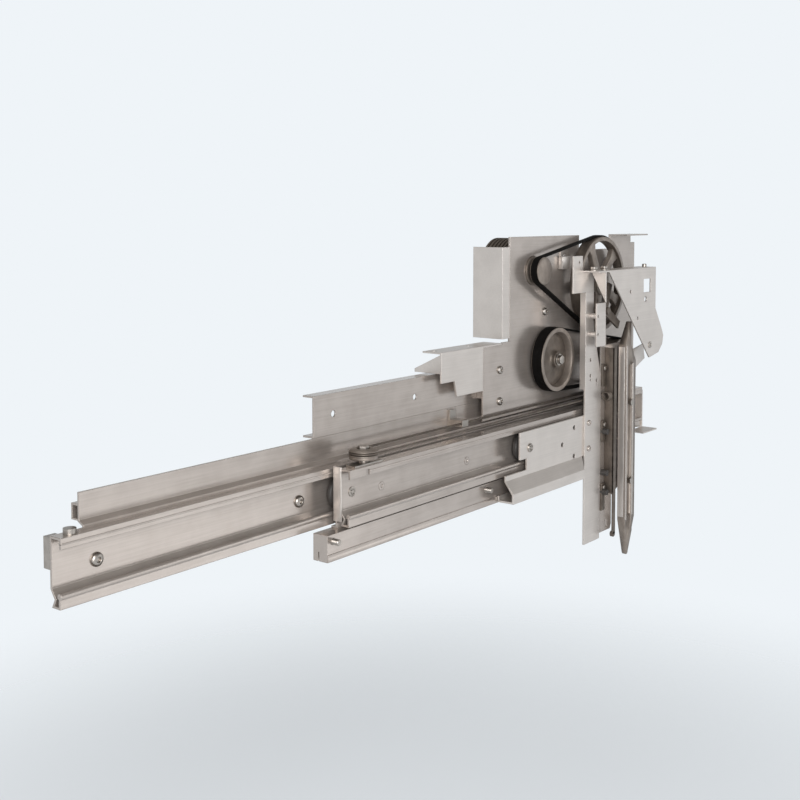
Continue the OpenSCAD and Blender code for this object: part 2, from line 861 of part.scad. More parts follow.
module wheel_shaft() {
    through_shaft(wheel_c, wheel_back - wheel_w);
}

module lower_shaft() {
    through_shaft(right_pulley_c, pulley_back - pulley_w);
}

module wheel_pinion() {
    color(cast_grey) pulley(wheel_c, pinion_r, reduction_back, reduction_pulley_w, shaft_r, shaft_r + 4,
        reduction_pulley_w - 1);
}

module reduction_pulley() {
    color(cast_grey) pulley(right_pulley_c, reduction_r, reduction_back, reduction_pulley_w, shaft_r,
        shaft_r + 4, 4);
}

module left_pulley() {
    color(cast_grey) pulley(left_pulley_c, left_pulley_r, pulley_back, pulley_w, idler_r + run_fit, 13, 6);
}

module right_pulley() {
    color(cast_grey) pulley(right_pulley_c, right_pulley_r, pulley_back, pulley_w, shaft_r, shaft_r + 5, 6);
}

// Places of the pads between the slow plate and the slow track
function pad_x() = [
    for (i = [0 : 3]) slow_axle_x[0] + 60 + i * (slow_axle_x[1] - slow_axle_x[0] - 120) / 3
];

module slow_plate() {
    color(zinc) difference() {
        union() {
            wall(slow_back, carriage_t) translate([slow_track_left, foot_z])
                square([slow_track_right - slow_track_left, rail_top_z - 2 - foot_z]);
            block([slow_track_left, slow_back, foot_z], [slow_track_right, channel_back, foot_z + foot_t]);
            for (x = pad_x()) rod(x, slow_front, roller_z, pad_r, pad_depth);
        }
        for (x = slow_axle_x) rod(x, slow_back + 1, roller_z, axle_r, carriage_t + 2);
        for (x = pad_x()) rod(x, slow_back + 1, roller_z, screw_r + run_fit, carriage_t + pad_depth + 2);
    }
}

module slow_track() {
    color(zinc) difference() {
        track(rail_b_y, slow_track_x);
        for (x = pad_x()) rod(x, rail_b_y + 1, roller_z, screw_r + run_fit, rail_t + 2);
        block([slow_track_left + 34, rail_b_y - rail_t - rail_depth - 1, rail_top_z - rail_lip - 1],
            [slow_track_left + 40, rail_b_y - rail_depth, rail_top_z - 4]);
    }
}

module slow_channel() {
    half = sheet / 2;
    color(zinc) difference() {
        union() {
            along(channel_left, slow_track_right - channel_left) strip([
                [channel_back - half, channel_low + half], [channel_back - half, channel_top - half],
                [channel_front + half, channel_top - half], [channel_front + half, channel_low + half],
                [channel_front + 10, channel_low + half]
            ], sheet);
            block([channel_left, channel_front, channel_low],
                [channel_left + sheet, channel_back, channel_top]);
        }
        block([channel_left - 1, channel_front + 14, channel_low - 1],
            [channel_left + sheet + 1, channel_front + 16, channel_low + 12]);
        for (x = slow_stud_x) rod(x, channel_front + sheet + 1, slow_stud_z, stud_neck_r, sheet + 2);
    }
}

module slow_studs() {
    color(bright_steel) for (x = slow_stud_x) {
        rod(x, channel_front, slow_stud_z, stud_r, stud_l);
        rod(x, channel_front + sheet, slow_stud_z, stud_neck_r, sheet);
        rod(x, channel_front + sheet + stud_head_h, slow_stud_z, stud_head_r, stud_head_h);
    }
}

module slow_axles() {
    color(bright_steel) for (x = slow_axle_x) axle(x, roller_a_y, slow_back);
}

module slow_screws() {
    color(bright_steel) for (x = pad_x()) {
        rod(x, rail_b_y - rail_t, roller_z, 6, 3);
        rod(x, slow_back, roller_z, screw_r, carriage_t + pad_depth + rail_t);
    }
}

// The sheaves' brackets on top of the slow track, with the collars under the sheaves
module sheave_brackets() {
    low = rail_top_z;
    color(bright_steel) for (x = sheave_x) difference() {
        union() {
            block([x - 32, rail_b_y - 16, low], [x + 26, rail_b_y - 1, low + bracket_t]);
            translate([x, sheave_y, low]) cylinder(r = 7, h = rope_z - sheave_w / 2 - slide_gap - low);
        }
        translate([x, sheave_y, low - 1]) cylinder(r = sheave_bolt_r, h = 40);
    }
}

module sheave_bolts() {
    top = rope_z + sheave_w / 2 + slide_gap;
    color(bright_steel) for (x = sheave_x) {
        translate([x, sheave_y, rail_top_z]) cylinder(r = sheave_bolt_r, h = top - rail_top_z);
        translate([x, sheave_y, top]) cylinder(r = 7.5, h = 5, $fn = 6);
    }
}

// The rope's loop around both sheaves
module sync_rope() {
    color(dark_steel) {
        for (side = [-1, 1]) translate([sheave_x[0], sheave_y + side * rope_bend_r, rope_z])
            rotate([0, 90, 0]) cylinder(r = rope_r, h = sheave_x[1] - sheave_x[0]);
        translate([sheave_x[0], sheave_y, rope_z]) rotate(90) rotate_extrude(angle = 180)
            translate([rope_bend_r, 0]) circle(rope_r, $fn = 24);
        translate([sheave_x[1], sheave_y, rope_z]) rotate(-90) rotate_extrude(angle = 180)
            translate([rope_bend_r, 0]) circle(rope_r, $fn = 24);
    }
}

module slow_roller_left() {
    color(roller_grey) track_roller(slow_axle_x[0], roller_a_y);
}

module slow_roller_right() {
    color(roller_grey) track_roller(slow_axle_x[1], roller_a_y);
}

// A flat sheave with a rope groove
module rope_sheave(x) {
    color(pale_zinc) translate([x, sheave_y, rope_z]) difference() {
        translate([0, 0, -sheave_w / 2]) cylinder(r = sheave_r, h = sheave_w);
        rotate_extrude() translate([rope_bend_r, 0]) {
            circle(rope_r + slide_gap);
            translate([0, -rope_r - slide_gap]) square([2 * rope_r, 2 * (rope_r + slide_gap)]);
        }
        translate([0, 0, -sheave_w]) cylinder(r = sheave_bolt_r + run_fit, h = 2 * sheave_w);
    }
}

module rope_sheave_left() {
    rope_sheave(sheave_x[0]);
}

module rope_sheave_right() {
    rope_sheave(sheave_x[1]);
}

module fast_plate() {
    mid = fast_front + carriage_t / 2;
    lip = mid - hanger_forward;
    knee = fast_low - hanger_drop;
    hem = 8;
    color(pale_zinc) difference() {
        union() {
            wall(fast_back, carriage_t) polygon([
                [fast_plate_left, fast_top], [fast_plate_right, fast_top], [fast_plate_right, fast_low],
                [fast_plate_left + 20, fast_low], [fast_plate_left + 20, fast_mid],
                [fast_plate_left, fast_mid]
            ]);
            along(hanger_left, hanger_right - hanger_left) strip([
                [mid, fast_low + hem], [mid, fast_low], [lip, knee], [lip, knee - hanger_lip],
                [lip + hanger_foot, knee - hanger_lip], [lip + hanger_foot, knee - hanger_lip + hem]
            ], carriage_t);
        }
        translate([hanger_right, fast_front, knee - hanger_lip - carriage_t])
            linear_extrude(hanger_drop + hanger_lip + carriage_t) polygon([
                [0, 0], [-hanger_slant, -hanger_forward], [-hanger_slant, -hanger_forward - 2],
                [2, -hanger_forward - 2], [2, 0]
            ]);
        for (x = fast_axle_x) rod(x, fast_back + 1, roller_z, axle_r, carriage_t + 2);
        for (z = [panel_hole_z, panel_hole_z - panel_hole_pitch])
            rod(panel_hole_x, fast_back + 1, z, panel_hole_r, carriage_t + 2);
        rod(panel_hole_x - 39, fast_back + 1, panel_hole_z - 23, panel_hole_r, carriage_t + 2);
        coupler_screw_holes();
    }
}

module fast_axles() {
    color(bright_steel) for (x = fast_axle_x) axle(x, roller_b_y, fast_back);
}

module rope_clamp() {
    run_y = sheave_y - rope_bend_r;
    half_w = 9;
    color(bright_steel) difference() {
        union() {
            block([clamp_x - half_w, fast_back, fast_top - 14], [clamp_x + half_w, fast_back + 4, fast_top]);
            block([clamp_x - half_w, fast_front + 0.5, fast_top], [clamp_x + half_w, run_y + 3, rope_z + 5]);
        }
        rope_hole(clamp_x, run_y);
    }
}

// Holes for the screws of the post and the back plate
module coupler_screw_holes() {
    for (c = coupler_screw_c) rod(c[0], fast_back + 1, c[1], screw_r + run_fit, 2 * carriage_t + 2);
}

module coupler_post() {
    flange = 8;
    flange_low = waist_z[0] - 20;
    key_x = [post_left + 18, post_right - 14];
    key_z = [waist_z[0] + 29, waist_z[0] + 2, waist_z[0] - 8];
    color(pale_zinc) difference() {
        union() {
            wall(fast_front, post_t) polygon([
                [post_left, post_low], [post_right, post_low], [post_right, waist_z[0]],
                [post_waist, waist_z[1]], [post_waist, head_low], [post_left, head_low]
            ]);
            block([post_left, fast_front, flange_low], [post_left + sheet, fast_front + flange, head_low]);
        }
        coupler_screw_holes();
        rod(key_x[0], fast_front + 1, key_z[0], screw_r, post_t + 2);
        keyhole(key_x[0], key_z[1]);
        keyhole(key_x[1], key_z[2]);
    }
}

// A keyhole through the post: a round hole with a narrow one under it
module keyhole(x, z) {
    rod(x, fast_front + 1, z, screw_r, post_t + 2);
    rod(x, fast_front + 1, z - 7, screw_r - 1, post_t + 2);
}

module coupler_back() {
    x = post_right + slide_gap;
    ear_r = 14;
    slot = [5, 13];
    slot_x = 22;
    color(zinc) difference() {
        wall(fast_front, post_t) polygon([
            [x, tail_low], [tail_right - 4, tail_low], [tail_right, tail_low + 8],
            [tail_right, back_shoulder], [back_right, back_shoulder + 20], [back_right, back_top],
            [lever_x + ear_r + 3, back_top], [lever_x + ear_r, lever_z + ear_r],
            [lever_x - ear_r, lever_z + ear_r], [lever_x - ear_r, lever_z - ear_r - 3], [x, back_top + 10]
        ]);
        coupler_screw_holes();
        rod(lever_x, fast_front + 1, lever_z, pin_r, post_t + 2);
        for (z = vane_pin_z) rod(vane_mid, fast_front + 1, z + link_l, pin_r, post_t + 2);
        wall(fast_front + 1, post_t + 2) translate([x + slot_x, tail_low + 6]) square(slot);
    }
}

// The head that carries the lever: rear face, top flange, gusset and front plate
module head_bracket() {
    right = post_waist + head_reach;
    top = head_top;
    color(pale_zinc) difference() {
        union() {
            wall(fast_front, post_t) polygon([
                [head_left, head_low], [post_waist, head_low], [post_waist, top], [head_left + 31, top],
                [head_left + 31, top + 25], [head_left, top + 25]
            ]);
            block([head_left + 33, head_front, top - sheet], [right, fast_front, top]);
            wall(head_front + sheet, sheet) polygon([
                [post_waist - 4, top], [right, top], [right, top - 74], [right + 26, top - 112],
                [right + 34, top - 126], [right + 30, top - 142], [right + 14, top - 156],
                [right - 22, top - 162]
            ]);
            along(post_waist - 12, sheet) polygon([
                [post_front - 2, top - sheet], [head_front + 1, top - sheet],
                [head_front + 1, top - head_flap]
            ]);
        }
        wall(head_front + sheet + 1, sheet + 2) translate([right - 48, top - 44]) square([28, 24]);
        rod(right - 40, head_front + sheet + 1, top - 56, 5, sheet + 2);
        rod(right - 98, head_front + sheet + 1, top - 40, 3, sheet + 2);
        rod(right - 70, head_front + sheet + 1, top - 88, 3, sheet + 2);
        rod(head_left + 20, fast_front + 1, top + 14, 2.5, post_t + 2);
    }
}

module fixed_vane_bar() {
    x = fixed_vane_left;
    mid = x + fixed_vane_w / 2;
    color(dark_steel) {
        block([x, fixed_vane_front, back_shoulder + 13], [x + sheet, fixed_vane_back, fixed_vane_top]);
        block([x, fixed_vane_front, fixed_vane_low],
            [x + fixed_vane_w, fixed_vane_front + sheet, fixed_vane_top]);
        rod(mid, fixed_vane_front + 6, fixed_vane_low, fixed_tip_r, 6);
    }
}

// The small plate in front of the post, on two spacers
module lever_bracket() {
    x = post_waist - 12;
    z = waist_z[1] - 37;
    size = [32, 74];
    spacer = 10;
    spacer_z = [z + 21, z + 52];
    color(pale_zinc) difference() {
        union() {
            wall(post_front - spacer, sheet) translate([x, z]) square(size);
            for (h = spacer_z) rod(x + 5.5, post_front, h, 5, spacer);
        }
        for (h = spacer_z) rod(x + 5.5, post_front + 1, h, screw_r - 0.5, spacer + sheet + 2);
    }
}

module coupler_screws() {
    color(bright_steel) for (c = coupler_screw_c) {
        rod(c[0], fast_back, c[1], screw_r, 2 * carriage_t);
        rod(c[0], post_front, c[1], 5, 3);
    }
}

module vane_buffers() {
    color(roller_grey) for (z = [buffer_low, buffer_mid, buffer_high]) {
        rod(post_right + 6, back_front, z, 5, 12);
    }
}

// Rings of a helical spring's wire along X
function coil_ring(c, r, pitch, wire, i, steps, sides) = [
    for (k = [0 : sides - 1])
        let (a = 360 * i / steps, b = 360 * k / sides, rr = r + wire * cos(b))
        [c[0] + pitch * i / steps + wire * sin(b), c[1] + rr * cos(a), c[2] + rr * sin(a)]
];

module coil(c, r, pitch, turns, wire) {
    steps = 16;
    sides = 8;
    count = steps * turns;
    rings = [for (i = [0 : count]) each coil_ring(c, r, pitch, wire, i, steps, sides)];
    sides_faces = [
        for (i = [0 : count - 1], k = [0 : sides - 1])
            let (a = i * sides + k, b = i * sides + (k + 1) % sides)
            [a, a + sides, b + sides, b]
    ];
    first = [for (k = [0 : sides - 1]) k];
    last = [for (k = [sides - 1 : -1 : 0]) count * sides + k];
    polyhedron(rings, concat(sides_faces, [first, last]));
}

module vane_spring() {
    wire = 1.2;
    turn_r = 7;
    turns = 4;
    room = fixed_vane_left - post_right - 2 * wire - 2 * slide_gap;
    c = [post_right + wire + slide_gap, back_front - turn_r - wire - slide_gap, -47];
    color(dark_steel) coil(c, turn_r, room / turns, turns, wire);
}

module fast_roller_left() {
    color(roller_grey) track_roller(fast_axle_x[0], roller_b_y);
}

module fast_roller_right() {
    color(roller_grey) track_roller(fast_axle_x[1], roller_b_y);
}

// A link that hangs from the back plate and carries the vane on its lower pin
module vane_link(z) {
    color(bright_steel) {
        wall(link_back, link_t) {
            translate([vane_mid - link_r, z]) square([2 * link_r, link_l]);
            translate([vane_mid, z]) circle(link_r);
            translate([vane_mid, z + link_l]) circle(link_r);
        }
        rod(vane_mid, fast_front, z + link_l, pin_r - run_fit, fast_front - link_back);
        rod(vane_mid, link_front, z, pin_r - run_fit, link_front - vane_front + 1);
        rod(vane_mid, vane_front - 0.5, z, pin_r + 2, 3);
    }
}

module vane_link_upper() {
    vane_link(vane_pin_z[1]);
}

module vane_link_lower() {
    vane_link(vane_pin_z[0]);
}

// Outline of the moving vane: both ends lead in, and the lower tip is round
module vane_outline() {
    tip = [vane_left + vane_tip_x, vane_low];
    lean = vane_left + vane_lean;
    polygon(concat(arc_points(tip, vane_tip_r, 180, 360), [
        [vane_right, vane_low_shoulder], [vane_right, vane_high_shoulder],
        [lean + vane_end_w, vane_left_shoulder], [lean + vane_end_w, vane_top], [lean, vane_top],
        [vane_left, vane_left_shoulder], [vane_left, vane_low_shoulder]
    ]));
}

// Outline of the hollow between the moving vane's flanges
module vane_hollow() {
    x0 = vane_left + vane_t;
    x1 = vane_right - vane_t;
    low = vane_low + 3 * vane_tip_r;
    tip_x = vane_left + vane_tip_x;
    polygon([
        [x0, vane_low_shoulder], [tip_x, low], [tip_x + vane_t, low], [x1, vane_low_shoulder],
        [x1, vane_high_shoulder - vane_t], [lean_end(), vane_left_shoulder - vane_t],
        [x0, vane_left_shoulder - vane_t]
    ]);
}

// Right end of the hollow's top
function lean_end() = vane_left + vane_lean + vane_end_w - vane_t;

module moving_vane() {
    color(zinc) difference() {
        wall(vane_front + vane_flange, vane_flange) vane_outline();
        wall(vane_front + vane_flange + 1, vane_flange - vane_t + 1) vane_hollow();
        for (z = vane_pin_z) rod(vane_mid, vane_front + vane_t + 1, z, pin_r, vane_t + 2);
    }
}

module head_lever() {
    c = lever_c;
    color(dark_steel) {
        wall(lever_back, lever_t) {
            translate(c) circle(10);
            polygon([c + [-6, 0], c + [6, 0], c + [22, 44], c + [10, 48]]);
            polygon([c + [0, -8], c + [4, 8], c + [52, -22], c + [46, -34]]);
        }
        rod(c[0], fast_front, c[1], pin_r - run_fit, fast_front - lever_back);
        rod(c[0], lever_back - lever_t, c[1], 7, 6, $fn = 6);
    }
}

track_beam();
header_track();
header_plate();
drive_plate();
roof_ear();
end_bracket();
end_block();
motor_body();
motor_flange();
motor_cover();
wheel_bearing();
lower_bearing();
idler_axle();
motor_belt();
door_belt();
reduction_belt();
track_screws();
plate_screws();
rope_anchor();
motor_pulley();
motor_shaft();
drive_wheel();
wheel_shaft();
wheel_pinion();
left_pulley();
right_pulley();
lower_shaft();
reduction_pulley();
slow_plate();
slow_track();
slow_channel();
slow_studs();
slow_axles();
slow_screws();
sheave_brackets();
sheave_bolts();
sync_rope();
slow_roller_left();
slow_roller_right();
rope_sheave_left();
rope_sheave_right();
fast_plate();
fast_axles();
rope_clamp();
coupler_post();
coupler_back();
head_bracket();
fixed_vane_bar();
lever_bracket();
coupler_screws();
vane_buffers();
vane_spring();
fast_roller_left();
fast_roller_right();
vane_link_upper();
vane_link_lower();
moving_vane();
head_lever();
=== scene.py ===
"""Elevator door operator: finishes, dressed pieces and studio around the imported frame."""

import json
import logging
import math
from dataclasses import dataclass
from enum import Enum, IntEnum
from typing import Dict, List, Optional, Sequence, Tuple

import bpy
from mathutils import Matrix, Vector


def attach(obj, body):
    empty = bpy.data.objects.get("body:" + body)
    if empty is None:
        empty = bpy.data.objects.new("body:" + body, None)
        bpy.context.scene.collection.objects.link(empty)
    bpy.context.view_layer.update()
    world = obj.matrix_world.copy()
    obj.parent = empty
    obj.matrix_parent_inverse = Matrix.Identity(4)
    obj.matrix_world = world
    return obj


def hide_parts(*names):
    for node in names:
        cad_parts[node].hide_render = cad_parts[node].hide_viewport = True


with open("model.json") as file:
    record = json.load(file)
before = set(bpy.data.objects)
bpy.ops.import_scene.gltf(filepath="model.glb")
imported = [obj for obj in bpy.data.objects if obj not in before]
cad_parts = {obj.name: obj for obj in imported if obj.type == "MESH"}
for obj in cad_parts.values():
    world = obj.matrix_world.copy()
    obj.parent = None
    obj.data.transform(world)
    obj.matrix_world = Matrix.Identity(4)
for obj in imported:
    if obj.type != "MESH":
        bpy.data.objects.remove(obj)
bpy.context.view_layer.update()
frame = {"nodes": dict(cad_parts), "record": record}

LOG = logging.getLogger("door_operator")
MM = 0.001
SMOOTH_ANGLE = math.radians(35)
# Most values of a noise pattern lie between these.
MOST_NOISE = (0.3, 0.7)
Point = Tuple[float, float]
Place = Tuple[float, float, float]
Box = Tuple[Place, Place]
Piece = bpy.types.Object
Socket = bpy.types.NodeSocket


class Slot(Enum):
    """Material slots of the record."""

    ZINC = "zinc"
    PALE_ZINC = "pale_zinc"
    BRIGHT_STEEL = "bright_steel"
    DARK_STEEL = "dark_steel"
    CAST_GREY = "cast_grey"
    BELT_BLACK = "belt_black"
    ROLLER_GREY = "roller_grey"


class Facing(Enum):
    """The way a turned piece's front points."""

    LANDING = "landing"
    UP = "up"


class Facets(IntEnum):
    """Facets around a turned piece, by its size."""

    SMALL = 48
    MEDIUM = 64
    LARGE = 96


def linear(code: str) -> Tuple[float, float, float, float]:
    """Turns an sRGB hex colour into a linear colour.

    Args:
        code: Six hex digits.

    Returns:
        Linear red, green, blue and alpha.
    """
    channels = [int(code[i:i + 2], 16) / 255 for i in (0, 2, 4)]
    values = [c / 12.92 if c <= 0.04045 else ((c + 0.055) / 1.055) ** 2.4 for c in channels]
    return values[0], values[1], values[2], 1.0


def add_node(tree: bpy.types.NodeTree, kind: str, inputs: Optional[dict] = None,
             **settings) -> bpy.types.Node:
    """Adds a node with its settings and links.

    Args:
        tree: The node tree that gets the node.
        kind: The node's type name.
        inputs: Socket name or number to a value, or to a socket that is linked to it.
        settings: Properties of the node.

    Returns:
        The new node.
    """
    node = tree.nodes.new(kind)
    for name, value in settings.items():
        setattr(node, name, value)
    for key, value in (inputs or {}).items():
        if isinstance(value, Socket):
            tree.links.new(value, node.inputs[key])
        else:
            node.inputs[key].default_value = value
    return node


class NodeMaterial:
    """A material that is put together from nodes."""

    def __init__(self, name: str) -> None:
        """Starts an empty material.

        Args:
            name: The material's name.
        """
        self.material = bpy.data.materials.new(name)
        self.material.use_nodes = True
        self.tree = self.material.node_tree
        self.tree.nodes.clear()
        self.place = add_node(self.tree, "ShaderNodeTexCoord").outputs["Object"]

    def noise(self, grain_mm: float, detail: float, place: Optional[Socket] = None) -> Socket:
        """Adds a noise pattern.

        Args:
            grain_mm: Size of its grains, in mm.
            detail: Octaves of finer noise in it.
            place: The coordinates that it follows, the object's own if none are given.

        Returns:
            The pattern.
        """
        node = add_node(self.tree, "ShaderNodeTexNoise", {
            "Vector": self.place if place is None else place, "Scale": 1 / (grain_mm * MM),
            "Detail": detail})
        return node.outputs["Fac"]

    def spread(self, pattern: Socket, low: float, high: float, first: float = 0.0, last: float = 1.0
               ) -> Socket:
        """Stretches a pattern's values from one range to another.

        Args:
            pattern: The pattern.
            low: Its value that becomes the first.
            high: Its value that becomes the last.
            first: Where the new range begins.
            last: Where the new range ends.

        Returns:
            The stretched pattern.
        """
        node = add_node(self.tree, "ShaderNodeMapRange", {
            "Value": pattern, "From Min": low, "From Max": high, "To Min": first, "To Max": last})
        return node.outputs[0]

    def tint(self, pattern: Socket, first: str, second: str) -> Socket:
        """Mixes two colours by a pattern.

        Args:
            pattern: The pattern, from 0 for the first colour to 1 for the second.
            first: Hex code of the first colour.
            second: Hex code of the second colour.

        Returns:
            The mixed colour.
        """
        node = add_node(self.tree, "ShaderNodeMix", {
            "Factor": pattern, "A": linear(first), "B": linear(second)}, data_type="RGBA")
        return node.outputs["Result"]

    def relief(self, pattern: Socket, strength: float, depth_mm: float, edge_mm: float = 0.0,
               samples: int = 4) -> Socket:
        """Adds a bump, over edges that the light sees as rounded.

        Args:
            pattern: The bump's height.
            strength: The bump's strength.
            depth_mm: The bump's depth, in mm.
            edge_mm: Radius of the rounded edges, in mm, or 0 for none.
            samples: Samples for the rounded edges.

        Returns:
            The normal.
        """
        inputs = {"Strength": strength, "Distance": depth_mm * MM, "Height": pattern}
        if edge_mm > 0:
            edge = add_node(self.tree, "ShaderNodeBevel", {"Radius": edge_mm * MM}, samples=samples)
            inputs["Normal"] = edge.outputs[0]
        return add_node(self.tree, "ShaderNodeBump", inputs).outputs[0]

    def finish(self, surface: dict) -> bpy.types.Material:
        """Closes the material with its surface shader.

        Args:
            surface: The shader's socket names to values or sockets.

        Returns:
            The finished material.
        """
        shader = add_node(self.tree, "ShaderNodeBsdfPrincipled", surface)
        add_node(self.tree, "ShaderNodeOutputMaterial", {"Surface": shader.outputs[0]})
        return self.material


@dataclass(frozen=True)
class SheetSteel:
    """Rolled steel sheet with a satin zinc coat.

    The coat gives the eye a soft grey sheen, a cloudy mottle from the bath and faint lines along the rolling
    direction. The rolling lines are drawn about ten times as coarse as real ones so that they show.
    """

    name: str
    colour: str
    shade: str
    roughness: float
    metallic: float = 0.65
    mottle_mm: float = 30.0
    line_mm: float = 1.6
    line_share: float = 0.35
    line_stretch: Place = (0.02, 1.0, 1.0)
    tone_range: Point = (0.35, 0.65)
    sheen_swing: float = 0.02
    grain: float = 0.1
    grain_depth_mm: float = 0.05
    edge_mm: float = 1.2
    edge_samples: int = 6

    def build(self) -> bpy.types.Material:
        """Builds the material."""
        sheet = NodeMaterial(self.name)
        mottle = sheet.noise(self.mottle_mm, 3.0)
        along = add_node(sheet.tree, "ShaderNodeMapping", {
            "Vector": sheet.place, "Scale": self.line_stretch})
        lines = sheet.noise(self.line_mm, 0.0, along.outputs[0])
        blend = add_node(sheet.tree, "ShaderNodeMix", {
            "Factor": self.line_share, "A": mottle, "B": lines}, data_type="FLOAT")
        tone = sheet.spread(blend.outputs["Result"], *self.tone_range)
        sheen = sheet.spread(mottle, *MOST_NOISE, self.roughness - self.sheen_swing,
                             self.roughness + self.sheen_swing)
        bump = sheet.relief(mottle, self.grain, self.grain_depth_mm, self.edge_mm, self.edge_samples)
        return sheet.finish({
            "Base Color": sheet.tint(tone, self.shade, self.colour), "Metallic": self.metallic,
            "Roughness": sheen, "Normal": bump})


@dataclass(frozen=True)
class TurnedSteel:
    """Bright machined steel with fine tool marks and a clean reflection.

    The eye gets small bright glints with a slightly uneven, handled tone. Tool marks are about 0.2 mm apart
    and are drawn at 0.8 mm so that they show.
    """

    name: str
    colour: str
    shade: str
    roughness: float
    smudge_mm: float = 9.0
    sheen_swing: float = 0.1
    mark_mm: float = 0.8
    mark_strength: float = 0.08
    mark_depth_mm: float = 0.05
    edge_mm: float = 0.5

    def build(self) -> bpy.types.Material:
        """Builds the material."""
        steel = NodeMaterial(self.name)
        smudge = steel.noise(self.smudge_mm, 4.0)
        marks = steel.noise(self.mark_mm, 1.0)
        tone = steel.spread(smudge, *MOST_NOISE)
        sheen = steel.spread(smudge, *MOST_NOISE, self.roughness, self.roughness + self.sheen_swing)
        bump = steel.relief(marks, self.mark_strength, self.mark_depth_mm, self.edge_mm)
        return steel.finish({
            "Base Color": steel.tint(tone, self.shade, self.colour), "Metallic": 1.0,
            "Roughness": sheen, "Normal": bump})


@dataclass(frozen=True)
class CastMetal:
    """As-cast or phosphated metal.

    The eye gets a dull skin with a sandy grain and cloudy, uneven patches.
    """

    name: str
    colour: str
    shade: str
    roughness: float
    metallic: float
    cloud_mm: float = 14.0
    sheen_swing: float = 0.06
    grit_mm: float = 1.8
    grit_strength: float = 0.12
    grit_depth_mm: float = 0.3
    edge_mm: float = 0.9

    def build(self) -> bpy.types.Material:
        """Builds the material."""
        metal = NodeMaterial(self.name)
        grit = metal.noise(self.grit_mm, 3.0)
        cloud = metal.noise(self.cloud_mm, 4.0)
        tone = metal.spread(cloud, *MOST_NOISE)
        sheen = metal.spread(cloud, *MOST_NOISE, self.roughness + self.sheen_swing,
                             self.roughness - self.sheen_swing)
        bump = metal.relief(grit, self.grit_strength, self.grit_depth_mm, self.edge_mm)
        return metal.finish({
            "Base Color": metal.tint(tone, self.shade, self.colour), "Metallic": self.metallic,
            "Roughness": sheen, "Normal": bump})


@dataclass(frozen=True)
class DullPolymer:
    """Black belt rubber or dark moulded nylon.

    The eye gets no metal shine, but a fine matte skin with a thin, patchy film of dust.
    """

    name: str
    colour: str
    dust: str
    roughness: float
    gloss: float
    dust_mm: float = 11.0
    dust_range: Point = (0.4, 0.75)
    sheen_swing: float = 0.08
    skin_mm: float = 1.2
    skin_strength: float = 0.1
    skin_depth_mm: float = 0.2

    def build(self) -> bpy.types.Material:
        """Builds the material."""
        polymer = NodeMaterial(self.name)
        skin = polymer.noise(self.skin_mm, 3.0)
        film = polymer.noise(self.dust_mm, 4.0)
        tone = polymer.spread(film, *self.dust_range)
        sheen = polymer.spread(skin, 0.0, 1.0, self.roughness - self.sheen_swing,
                               self.roughness + self.sheen_swing)
        bump = polymer.relief(skin, self.skin_strength, self.skin_depth_mm)
        return polymer.finish({
            "Base Color": polymer.tint(tone, self.colour, self.dust), "Roughness": sheen,
            "Normal": bump, "Specular IOR Level": self.gloss})


FINISHES = {
    Slot.ZINC: SheetSteel("satin_zinc_sheet", "B2A9A2", "A69D96", 0.24),
    Slot.PALE_ZINC: SheetSteel("bright_galvanised_sheet", "C8C1BB", "BFB8B2", 0.36),
    Slot.BRIGHT_STEEL: TurnedSteel("turned_bright_steel", "ACA59E", "99928B", 0.29),
    Slot.DARK_STEEL: CastMetal("phosphated_dark_steel", "6C6259", "564E47", 0.5, 0.6),
    Slot.CAST_GREY: CastMetal("cast_grey_alloy", "8F857C", "7C726A", 0.45, 0.7),
    Slot.BELT_BLACK: DullPolymer("black_belt_rubber", "090807", "12100F", 0.7, 0.08),
    Slot.ROLLER_GREY: DullPolymer("dark_grey_nylon", "383533", "423E3B", 0.5, 0.4),
}


